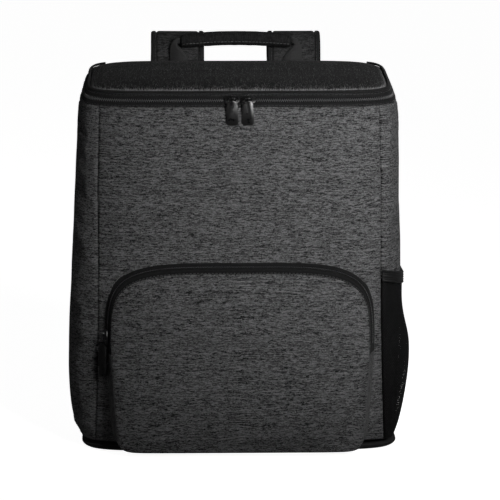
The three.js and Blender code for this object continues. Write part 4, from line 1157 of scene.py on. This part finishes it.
def add_lid_panel():
    """Padded dome, rolled in under its own edge."""
    edge = ZIP_HEIGHT + GAP

    def ring_at(inset, lift, wave=0.0):
        ring = body_ring(1, inset, lambda y: rim_height(y) + lift, 200)
        for point in ring:
            point.z += wave * relief(point.x, point.y, 50 * MM, 11)
        return ring

    inside = BODY_DEPTH / 2 - 2 * MM
    rings = []
    shares = (0, 0.01, 0.03, 0.07, 0.13, 0.2, 0.3, 0.42, 0.56, 0.72, 0.88, 1)
    insets = [LID_SHOULDER * share for share in shares]
    beyond = [mix(LID_SHOULDER, inside, k / 9) for k in range(1, 10)]
    for inset in insets + beyond:
        if inset <= LID_SHOULDER:
            lift = LID_DOME * column_at(LID_PROFILE, "lift", inset / LID_SHOULDER)
        else:
            shoulder = LID_PROFILE[-1].lift
            lift = LID_DOME * mix(shoulder, LID_TOP, smoothstep(inset, LID_SHOULDER, inside))
        wave = 0.5 * MM * smoothstep(inset, 0, 30 * MM)
        ring = ring_at(min(LID_INSET + inset, inside), edge + lift, wave)
        if rings and LID_INSET + inset >= inside:
            break
        rings.append(ring)
    rings.reverse()
    rings += [
        ring_at(LID_INSET - LID_TUCK, edge + LID_PROFILE[0].lift * LID_DOME),
        ring_at(LID_INSET - LID_TUCK, edge - LID_SKIRT),
        ring_at(LID_INSET + WALL, edge - LID_SKIRT),
        ring_at(LID_INSET + LID_SHOULDER, edge + LID_DOME - LID_WALL),
    ]
    # The lid's yarns run from front to back.
    flats = [(p.y, p.x) for ring in rings for p in ring]
    # The lid's cloth carries painted light by facing: a painted highlight on its front lip and painted shade
    # on its top.
    obj = ring_mesh("lid_cloth_panel", rings, material_of("lid_cloth"), flats)
    dress(obj, "lid_cloth", "lid_panel")


RIM_SEAM = seam_turn(1)
ZIP_FROM = -math.pi - RIM_SEAM
ZIP_TO = RIM_SEAM


def rim_strip(name, finish, section, *nodes, start=ZIP_FROM, end=ZIP_TO):
    """A strip along the lid's zip. A section lists places out of the zip and up it."""
    lean = ZIP_LEAN / ZIP_HEIGHT
    length = 2 * (BODY_WIDTH + BODY_DEPTH) * (end - start) / (2 * math.pi)
    count = max(6, round(length / (4 * MM)))
    rings = []
    for k in range(count + 1):
        turn = mix(start, end, k / count)
        rings.append([body_point(turn, 1, lean * lift - out, lift) for out, lift in section])
    dress(ring_mesh(name, rings, material_of(finish), band_uvs(rings)), "black_cloth", *nodes)


def strip_section(lowest, highest, crown=0.25 * MM):
    """Soft-edged section of a tape: out of the zip, up it."""
    edge = 0.35 * MM
    thick = ZIP_TAPE_THICK
    return [
        (-thick, lowest + edge),
        (-thick + edge, lowest),
        (-edge, lowest),
        (0, lowest + edge),
        (crown, (lowest + highest) / 2),
        (0, highest - edge),
        (-edge, highest),
        (-thick + edge, highest),
        (-thick, highest - edge),
    ]


def add_lid_zip(sizes):
    hinge_gap = GAP / (BODY_DEPTH / 2)
    under_coil = 0.2 * MM
    lower = strip_section(GAP, GAP + ZIP_TAPE)
    upper = strip_section(CHAIN_HIGH + GAP, ZIP_HEIGHT)
    bed = strip_section(CHAIN_LOW - under_coil, CHAIN_HIGH + under_coil, 0)
    rim_strip("lid_lower_tape", "zip_tape", lower, "lid_zip_lower_tape")
    rim_strip("lid_upper_tape", "zip_tape", upper, "lid_zip_upper_tape")
    rim_strip("lid_coil_bed", "zip_tape", bed)
    middle = (CHAIN_LOW + CHAIN_HIGH) / 2
    points, facings = rim_line(-0.35 * MM, middle, ZIP_FROM, ZIP_TO, 3 * MM)
    coil = coil_mesh("lid_coil", points, facings, sizes.lid_coil, ZIP_CHAIN)
    dress(coil, "zip_coil", "lid_zip_chain")
    rim_strip(
        "lid_hinge_cloth",
        "black_cloth",
        strip_section(GAP, ZIP_HEIGHT, 0.6 * MM),
        "lid_hinge",
        start=ZIP_TO + hinge_gap,
        end=math.pi - RIM_SEAM - hinge_gap,
    )
    for name, lift in (("lower", GAP + 0.9 * MM), ("upper", ZIP_HEIGHT - 0.9 * MM)):
        points, facings = rim_line(-0.1 * MM, lift, ZIP_FROM, ZIP_TO, 3 * MM)
        stitch_row(f"lid_{name}_stitches", points, facings, sizes, "thread", start=2 * MM)
    radius = PIPING / 2
    corners = [k * math.pi / 5 for k in range(10)]
    cord = [(radius * math.cos(a) - 0.1 * MM, PIPING_LIFT + radius * math.sin(a)) for a in corners]
    rim_strip("lid_piping_cord", "black_cloth", cord, "lid_piping")


def coil_mesh(name, points, facings, pitch, width):
    """Two rows of nylon loops that mesh along the middle."""
    shape, faces = capsule(width * 0.62, pitch * 0.42, pitch * 0.5)
    places = []
    for k, (spot, along, aside, out) in enumerate(stations_along(points, facings, pitch / 2, 1 * MM)):
        side = 1 if k % 2 else -1
        bar = (aside + along * 0.25 * side).normalized()
        places.append((spot + aside * side * width * 0.17, bar, out.cross(bar), out))
    return copies_mesh(name, shape, faces, places, material_of("zip_coil"))


# Front pocket


def add_pocket_panel():
    """Padded face of the pocket, sewn to its band all round."""
    count = 220
    edge_roll = 3 * MM
    half = POCKET_WIDTH / 2
    stations = [0.02, 0.12, 0.22, 0.32, 0.42, 0.52, 0.61, 0.7, 0.78, 0.85, 0.9, 0.94, 0.965, 0.98, 0.992, 1]

    def padding(scale, angle, z):
        near = (1 - scale) * half
        wave = smoothstep(near, 0, 30 * MM) * relief(math.cos(angle) * scale * half, z, 60 * MM, 21)
        gather = smoothstep(near, 0, 3 * MM) * pucker(angle * half, near, 23)
        puff = POCKET_PUFF * (1 - scale**4) - rolled(near, edge_roll) + edge_roll * 0.5
        return pocket_edge_depth(z) + GAP + puff + 0.7 * MM * wave + 0.5 * MM * gather

    def lining(scale, angle, z):
        return pocket_edge_depth(z) + GAP + (POCKET_PUFF - POCKET_FABRIC) * (1 - scale**4)

    def ring_at(scale, layer):
        angles = [2 * math.pi * k / count for k in range(count)]
        return [pocket_point(a, 1, 0, scale, lambda z, a=a: layer(scale, a, z)) for a in angles]

    rings = [ring_at(scale, padding) for scale in stations]
    rings += [ring_at(scale, lining) for scale in (1, 0.9, 0.5, 0.02)]
    uvs = [(p.x, p.z) for ring in rings for p in ring]
    obj = ring_mesh("pocket_face_cloth", rings, material_of("heather_cloth"), uvs)
    loose = [smoothstep((1 - scale) * half, 2 * MM, 12 * MM) for scale in stations]
    held = [1 - share for share in loose for _ in range(count)]
    settle(obj, held)
    dress(obj, "heather_cloth", "pocket_panel")


def pocket_band(name, finish, start, end, shares, thick, *nodes, slot="black_cloth"):
    """A strip of the slanting band between the body and the pocket's face."""
    edge = 0.35 * MM
    steps = 170
    rows = []
    along = 0.0
    for k in range(steps + 1):
        angle = mix(start, end, k / steps)
        falls = [edge if j in (0, len(shares) - 1) else 0.0 for j in range(len(shares))]
        outer = [pocket_point(angle, share, fall) for share, fall in zip(shares, falls)]
        inner = [pocket_point(angle, share, thick) for share in shares]
        if rows:
            along += (outer[0] - rows[-1][0][0]).length
        rows.append([(a, b, (along, (a - outer[0]).length)) for a, b in zip(outer, inner)])
    dress(sheet_mesh(name, *layers_of(rows), material_of(finish)), slot, *nodes)


def spread(lowest, highest, count):
    return [mix(lowest, highest, k / count) for k in range(count + 1)]


def pocket_line(share, inset, start, end, steps=240):
    """A line along the pocket's band, with the directions that it faces."""
    points, facings = [], []
    for k in range(steps + 1):
        angle = mix(start, end, k / steps)
        here = pocket_point(angle, share, inset)
        points.append(here)
        facings.append((here - pocket_point(angle, share, inset + MM)).normalized())
    return points, facings


def add_pocket_zip(sizes):
    for name, first, last, parts, *nodes in (
        ("pocket_outer_tape", 0, TAPE_SHARE, 4, "pocket_zip_outer_tape"),
        ("pocket_inner_tape", 1 - TAPE_SHARE, 1, 4, "pocket_zip_inner_tape"),
        ("pocket_coil_bed", 0.375, 0.625, 3),
    ):
        pocket_band(name, "zip_tape", 0, math.pi, spread(first, last, parts), ZIP_TAPE_THICK, *nodes)
    points, facings = pocket_line(0.5, -0.4 * MM, ZIP_END, math.pi - ZIP_END)
    coil = coil_mesh("pocket_coil", points, facings, sizes.pocket_coil, 3 * MM)
    dress(coil, "zip_coil", "pocket_zip_chain")
    for name, share, thread in (("outer", 0.06, "pale_thread"), ("inner", 0.93, "thread")):
        points, facings = pocket_line(share, -0.15 * MM, ZIP_END, math.pi - ZIP_END)
        stitch_row(f"pocket_{name}_stitches", points, facings, sizes, thread)


def add_pocket_gusset():
    split = (GAP / POCKET_DROP) ** (1 / CORNER_CROWDING)
    pocket_band(
        "pocket_gusset_cloth",
        "heather_cloth",
        math.pi + split,
        2 * math.pi - split,
        spread(0, 1, 10),
        POCKET_FABRIC,
        "pocket_gusset",
        slot="heather_cloth",
    )


# Side pocket


def side_pocket_offset(around, share):
    slack = math.sin(math.pi * around) ** SIDE_POCKET_FULLNESS if 0 < around < 1 else 0.0
    belly = SIDE_POCKET_BELLY * max(0, math.sin(math.pi * share)) ** SIDE_POCKET_ROUND
    return 3 * GAP + slack * mix(belly, SIDE_POCKET_MOUTH, smoothstep(share, 0.6, 1))


def side_pocket_rim(around):
    return SIDE_POCKET_HEIGHT - SIDE_POCKET_SAG * math.sin(math.pi * around)


def side_pocket_point(around, z, offset):
    turn = (2 * around - 1) * seam_turn(share_at(z, 0))
    share = share_at(z, body_point(turn, 0.5).y)
    point = body_point(turn, share, -offset)
    point.z = z
    return point


def net_point(u, v):
    z = mix(PANEL_FOOT + GAP, side_pocket_rim(u), v)
    return side_pocket_point(u, z, side_pocket_offset(u, v))


def add_net(sizes):
    """A knitted net of diamond holes, each with its own frame of thread."""
    width = BODY_DEPTH * NET_SLACK
    height = SIDE_POCKET_HEIGHT - PANEL_FOOT
    columns = round(width / sizes.net_pitch)
    rows = round(height / sizes.net_pitch)
    fine = 96
    grid = [[net_point(i / fine, j / fine) for i in range(fine + 1)] for j in range(fine + 1)]

    def at(u, v):
        x, y = clamp(u) * fine, clamp(v) * fine
        i, j = min(int(x), fine - 1), min(int(y), fine - 1)
        low_row = grid[j][i].lerp(grid[j][i + 1], x - i)
        high_row = grid[j + 1][i].lerp(grid[j + 1][i + 1], x - i)
        return low_row.lerp(high_row, y - j)

    corners = {}
    points = []
    uvs = []

    def corner(u, v):
        key = (round(u * 4 * columns), round(v * 4 * rows))
        if key not in corners:
            corners[key] = len(points)
            points.append(at(u, v))
            uvs.append((u * width, v * height))
        return corners[key]

    faces = []
    hole = sizes.net_hole
    slip = 1e-6
    for j in range(2 * rows + 1):
        for i in range(columns + 1):
            u = (i + (0.5 if j % 2 else 0)) / columns
            v = j / (2 * rows)
            half_u, half_v = 0.5 / columns, 0.5 / rows
            frame_points = [(u + half_u, v), (u, v + half_v), (u - half_u, v), (u, v - half_v)]
            if any(not -slip <= edge <= 1 + slip for corner_at in frame_points for edge in corner_at):
                continue
            outer = [corner(a, b) for a, b in frame_points]
            inner = []
            for a, b in frame_points:
                inner.append(len(points))
                points.append(at(mix(u, a, hole), mix(v, b, hole)))
                uvs.append((a * width, b * height))
            for k in range(4):
                n = (k + 1) % 4
                faces.append((outer[k], outer[n], inner[n], inner[k]))
    mesh = bpy.data.meshes.new("side_pocket_knit")
    mesh.from_pydata([tuple(p) for p in points], [], faces)
    layer = mesh.uv_layers.new(name="cloth")
    flat = np.array(uvs)[np.array([loop.vertex_index for loop in mesh.loops])]
    layer.data.foreach_set("uv", flat.ravel())
    mesh.materials.append(material_of("net"))
    obj = bpy.data.objects.new("side_pocket_knit", mesh)
    bpy.context.scene.collection.objects.link(obj)
    thick = obj.modifiers.new("thread", "SOLIDIFY")
    thick.thickness = sizes.net_thread
    thick.offset = 0
    apply_modifiers(obj)
    dress(obj, "net", "side_pocket_net")
    solid = sum(p.area for p in obj.data.polygons) / 2


def apply_modifiers(obj):
    """Puts what the modifiers make into the mesh."""
    graph = bpy.context.evaluated_depsgraph_get()
    made = bpy.data.meshes.new_from_object(obj.evaluated_get(graph))
    obj.modifiers.clear()
    obj.data = made


def add_elastic():
    """Ribbed elastic along the net's upper edge."""
    steps = 4 * ELASTIC_RIBS
    columns = 70
    rows = []
    for v in spread(0, 1, steps):
        wave = 0.35 * MM * math.sin(2 * math.pi * ELASTIC_RIBS * v - math.pi / 2)
        fall = rolled(min(v, 1 - v) * ELASTIC_WIDTH, 0.7 * MM)
        row = []
        for u in spread(0, 1, columns):
            z = side_pocket_rim(u) + GAP + v * ELASTIC_WIDTH
            off = side_pocket_offset(u, 1)
            outer = side_pocket_point(u, z, off + ELASTIC_THICK - fall + wave)
            row.append((outer, side_pocket_point(u, z, off), (u * BODY_DEPTH, v * ELASTIC_WIDTH)))
        rows.append(row)
    obj = sheet_mesh("side_pocket_elastic_band", *layers_of(rows), material_of("webbing"))
    dress(obj, "webbing", "side_pocket_elastic")


# Straps


def strap_line(side, steps):
    seat = back_face_y(STRAP_GAUGE, YOKE_TOP) + GAP + HANDLE_LEG_THICK + GAP + STRAP_THICK / 2
    points = []
    for row in STRAP_LINE:
        x = side * (STRAP_GAUGE + STRAP_SPLAY * row.splay)
        points.append(Vector((x, seat + STRAP_REACH * row.behind, STRAP_TOP * row.height)))
    points[0].z = YOKE_TOP + GAP
    return smooth_line(points, steps)


ACROSS = Vector((1, 0, 0))


def strap_width(share):
    return STRAP_WIDTH * (1 - STRAP_TAPER * smoothstep(share, STRAP_TAPER_FROM, 1))


def add_strap(name, side, sizes):
    steps = 110
    line = strap_line(side, steps)

    def padded_section(share):
        width = strap_width(share)
        along = share * 0.42
        shape = []
        for w, t in rounded_section(width, STRAP_THICK, 3.2 * MM, 5):
            crown = 0.7 * MM * (1 - (2 * w / width) ** 2)
            wave = 0.35 * MM * relief(w, along, 22 * MM, 31 + side)
            shape.append((w, t + math.copysign(crown + wave, t)))
        return shape

    rings = band_rings(line, ACROSS, padded_section)
    # The pad wears a darker copy of the heather cloth, painted shade.
    obj = ring_mesh(f"strap_{name}_pad", rings, material_of("strap_shaded_cloth"), strap_uvs(rings, line))
    dress(obj, "heather_cloth", f"strap_{name}")
    for edge, sign in (("outer", side), ("inner", -side)):
        edge_line = []
        for k, point in enumerate(line):
            offset = strap_width(k / steps) / 2 + BINDING_WIDTH / 2 - 0.6 * MM
            spot = point + square_to(ACROSS, heading_at(line, k)) * sign * offset
            spot.y += 0.4 * MM * max(0, 1 - k / (steps * 0.13))
            edge_line.append(spot)
        rings = band_rings(
            edge_line, ACROSS, lambda share: rounded_section(BINDING_WIDTH, BINDING_THICK, 2.6 * MM, 4)
        )
        obj = ring_mesh(f"strap_{name}_{edge}_binding", rings, material_of("black_cloth"), band_uvs(rings))
        dress(obj, "black_cloth", f"strap_{name}_binding_{edge}")
        for face, facing_sign in (("upper", 1), ("under", -1)):
            points = []
            facings = []
            for k, point in enumerate(edge_line):
                along = heading_at(edge_line, k)
                across = square_to(ACROSS, along)
                normal = along.cross(across).normalized() * facing_sign
                points.append(point + normal * (BINDING_THICK / 2 + 0.05 * MM) - across * sign * 1.6 * MM)
                facings.append(normal)
            row = f"strap_{name}_{edge}_{face}_stitches"
            stitch_row(row, points, facings, sizes, "thread", start=3 * MM)


def strap_uvs(rings, line):
    """The strap's yarns run across it."""
    uvs = []
    along = 0.0
    for k, ring in enumerate(rings):
        if k:
            along += (line[k] - line[k - 1]).length
        uvs += [(point.x, along) for point in ring]
    return uvs


def add_yoke():
    """Padded band that the straps and the handle come out of."""
    width = YOKE_WIDTH
    height = YOKE_TOP - YOKE_FOOT
    rows = []
    for v in spaced(height, 2 * MM, 4 * MM):
        row = []
        for u in spaced(width, 4 * MM, 8 * MM):
            x = (u - 0.5) * width
            z = YOKE_FOOT + v * height
            edge = min(min(u, 1 - u) * width, min(v, 1 - v) * height)
            swell = mix(YOKE_EDGE, YOKE_THICK, math.sin(math.pi * v))
            swell *= mix(0.42, 1, min(1, min(u, 1 - u) * width / (8 * MM)))
            swell += 0.5 * MM * relief(x, z, 16 * MM, 41) - rolled(edge, 4 * MM)
            seat = back_face_y(x, z) + GAP
            row.append((Vector((x, seat + swell, z)), Vector((x, seat, z)), (x, z)))
        rows.append(row)
    # The yoke shares the straps' darker cloth, painted shade.
    obj = sheet_mesh("strap_yoke_pad", *layers_of(rows), material_of("strap_shaded_cloth"))
    dress(obj, "heather_cloth", "strap_yoke")


def frame_copy(node, finish, width, segments=2, angle=50, body=BAG):
    """A copy of one of the frame's hard pieces with its edges rounded."""
    name = f"{node}_piece"
    obj = bpy.data.objects.new(name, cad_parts[node].data.copy())
    obj.data.name = name
    bpy.context.scene.collection.objects.link(obj)
    mesh = bmesh.new()
    mesh.from_mesh(obj.data)
    bmesh.ops.remove_doubles(mesh, verts=mesh.verts, dist=0.005 * MM)
    bmesh.ops.dissolve_limit(mesh, angle_limit=math.radians(4), verts=mesh.verts, edges=mesh.edges)
    sharp = [e for e in mesh.edges if len(e.link_faces) == 2 and e.calc_face_angle(0) > math.radians(angle)]
    rounding = {"offset": width, "segments": segments, "profile": 0.5}
    bmesh.ops.bevel(mesh, geom=sharp, affect="EDGES", clamp_overlap=True, **rounding)
    mesh.to_mesh(obj.data)
    mesh.free()
    obj.data.shade_smooth()
    obj.data.set_sharp_from_angle(angle=math.radians(40))
    cloth_uvs_by_box(obj)
    obj.data.materials.clear()
    obj.data.materials.append(material_of(finish))
    dress(obj, finish, node, body=body)


def cloth_uvs_by_box(obj):
    """Lays the cloth's coordinates on a copied piece: across, and up or along."""
    layer = obj.data.uv_layers.get("cloth") or obj.data.uv_layers.new(name="cloth")
    for loop in obj.data.loops:
        p = obj.data.vertices[loop.vertex_index].co
        layer.data[loop.index].uv = (p.x, p.z + p.y)


def add_strap_fittings(name):
    for part, finish, width in (
        ("loop", "webbing", 0.25 * MM),
        ("webbing", "webbing", 0.25 * MM),
        ("anchor", "heather_cloth", 0.8 * MM),
        ("adjuster", "hard_black", 0.6 * MM),
    ):
        frame_copy(f"strap_{name}_{part}", finish, width)


# Handle


def add_handle(sizes):
    """Padded roll, sewn shut along its lower front edge, on two webbing legs."""
    middle = HANDLE_TOP - HANDLE_ROLL / 2
    steps, sides = 60, 32
    rings, uvs = [], []
    for k in range(steps + 1):
        share = 2 * k / steps - 1
        taper = 1 - HANDLE_TAPER * share**4
        end = rolled((1 - abs(share)) * HANDLE_LENGTH / 2, 4 * MM)
        ring = []
        for j in range(sides):
            angle = 2 * math.pi * j / sides
            radius = (HANDLE_ROLL / 2) * taper - end
            radius += 0.25 * MM * relief(share * 60 * MM, angle * 7 * MM, 9 * MM, 51)
            y = HANDLE_SEAT + radius * math.cos(angle)
            z = middle - HANDLE_ARCH * share**2 + radius * math.sin(angle)
            ring.append(Vector((share * HANDLE_LENGTH / 2, y, z)))
            uvs.append((angle * HANDLE_ROLL / 2, share * HANDLE_LENGTH / 2))
        rings.append(ring)
    # The roll wears a darker copy of the heather cloth, painted shade.
    obj = ring_mesh("handle_grip_roll", rings, material_of("handle_shaded_cloth"), uvs)
    dress(obj, "heather_cloth", "handle_grip")
    points = []
    facing = Vector((0, math.cos(HANDLE_SEAM), math.sin(HANDLE_SEAM)))
    for share in spread(-1, 1, steps):
        radius = HANDLE_ROLL / 2 * (1 - HANDLE_TAPER * share**4) + 0.15 * MM
        x = share * (HANDLE_LENGTH / 2 - 4 * MM)
        spot = Vector((x, HANDLE_SEAT, middle - HANDLE_ARCH * share**2))
        points.append(spot + facing * radius)
    stitch_row("handle_stitches", points, [facing] * len(points), sizes, "pale_thread")
    for name in ("left", "right"):
        frame_copy(f"handle_leg_{name}", "webbing", 0.3 * MM)


# Zip pulls


def add_pulls():
    for node, body in (
        ("lid_slider_left", BAG),
        ("lid_slider_right", BAG),
        ("pocket_slider", BAG),
        ("lid_puller_left", "left_lid_puller"),
        ("lid_puller_right", "right_lid_puller"),
        ("pocket_puller", "front_pocket_puller"),
    ):
        frame_copy(node, "hard_black", 0.35 * MM, 3, 35, body)


# Operators


class BACKPACK_OT_studio(bpy.types.Operator):
    """Set the floor, the lights and the camera"""

    bl_idname = "backpack.studio"
    bl_label = "Studio"

    def execute(self, context):
        studio = context.scene.backpack_studio
        add_floor(studio)
        add_lights(studio)
        add_camera(studio)
        return {"FINISHED"}


class BACKPACK_OT_body(bpy.types.Operator):
    """Sew the front, back and side panels and the base"""

    bl_idname = "backpack.body"
    bl_label = "Body panels"

    def execute(self, context):
        sizes = context.scene.backpack_sizes
        add_face_panel("front_panel", -1, sizes, "heather_cloth", 1)
        add_face_panel("back_panel", 1, sizes, "black_cloth", 2)
        add_side_panel("side_panel_right", 0, sizes, 3)
        add_side_panel("side_panel_left", math.pi, sizes, 4)
        add_base()
        return {"FINISHED"}


class BACKPACK_OT_lid(bpy.types.Operator):
    """Make the padded lid, its zip, its piping and its hinge"""

    bl_idname = "backpack.lid"
    bl_label = "Lid"

    def execute(self, context):
        sizes = context.scene.backpack_sizes
        add_lid_panel()
        add_lid_zip(sizes)
        return {"FINISHED"}


class BACKPACK_OT_front_pocket(bpy.types.Operator):
    """Make the front pocket, its gusset and its arched zip"""

    bl_idname = "backpack.front_pocket"
    bl_label = "Front pocket"

    def execute(self, context):
        sizes = context.scene.backpack_sizes
        add_pocket_panel()
        add_pocket_gusset()
        add_pocket_zip(sizes)
        return {"FINISHED"}


class BACKPACK_OT_side_pocket(bpy.types.Operator):
    """Knit the side pocket's net and add its elastic edge"""

    bl_idname = "backpack.side_pocket"
    bl_label = "Side pocket"

    def execute(self, context):
        sizes = context.scene.backpack_sizes
        add_net(sizes)
        add_elastic()
        return {"FINISHED"}


class BACKPACK_OT_straps(bpy.types.Operator):
    """Make the shoulder straps, their fittings and the yoke"""

    bl_idname = "backpack.straps"
    bl_label = "Shoulder straps"

    def execute(self, context):
        sizes = context.scene.backpack_sizes
        add_yoke()
        for name, side in (("left", -1), ("right", 1)):
            add_strap(name, side, sizes)
            add_strap_fittings(name)
        return {"FINISHED"}


class BACKPACK_OT_handle(bpy.types.Operator):
    """Make the grab handle"""

    bl_idname = "backpack.handle"
    bl_label = "Grab handle"

    def execute(self, context):
        add_handle(context.scene.backpack_sizes)
        return {"FINISHED"}


class BACKPACK_OT_pulls(bpy.types.Operator):
    """Finish the zip sliders and their pullers"""

    bl_idname = "backpack.pulls"
    bl_label = "Zip pulls"

    def execute(self, context):
        add_pulls()
        return {"FINISHED"}


OPERATORS = (
    BACKPACK_OT_studio,
    BACKPACK_OT_body,
    BACKPACK_OT_lid,
    BACKPACK_OT_front_pocket,
    BACKPACK_OT_side_pocket,
    BACKPACK_OT_straps,
    BACKPACK_OT_handle,
    BACKPACK_OT_pulls,
)


class BACKPACK_PT_panel(bpy.types.Panel):
    """Lists the backpack's pieces and settings"""

    bl_label = "Cooler backpack"
    bl_idname = "BACKPACK_PT_panel"
    bl_space_type = "VIEW_3D"
    bl_region_type = "UI"
    bl_category = "Backpack"

    def draw(self, context):
        layout = self.layout
        for operator in OPERATORS:
            layout.operator(operator.bl_idname)
        for settings in SETTINGS:
            box = layout.box()
            box.label(text=settings.__doc__)
            group = getattr(context.scene, SETTINGS[settings])
            for key in settings.__annotations__:
                box.prop(group, key)


SETTINGS = {
    BackpackSizes: "backpack_sizes",
    BackpackColours: "backpack_colours",
    BackpackStudio: "backpack_studio",
}


def register():
    for cls in (*SETTINGS, *OPERATORS, BACKPACK_PT_panel):
        bpy.utils.register_class(cls)
    for cls, name in SETTINGS.items():
        setattr(bpy.types.Scene, name, PointerProperty(type=cls))


def unregister():
    for name in SETTINGS.values():
        delattr(bpy.types.Scene, name)
    for cls in reversed((*SETTINGS, *OPERATORS, BACKPACK_PT_panel)):
        bpy.utils.unregister_class(cls)


def main():
    register()
    for operator in OPERATORS:
        category, name = operator.bl_idname.split(".")
        getattr(getattr(bpy.ops, category), name)()


if __name__ == "__main__":
    main()
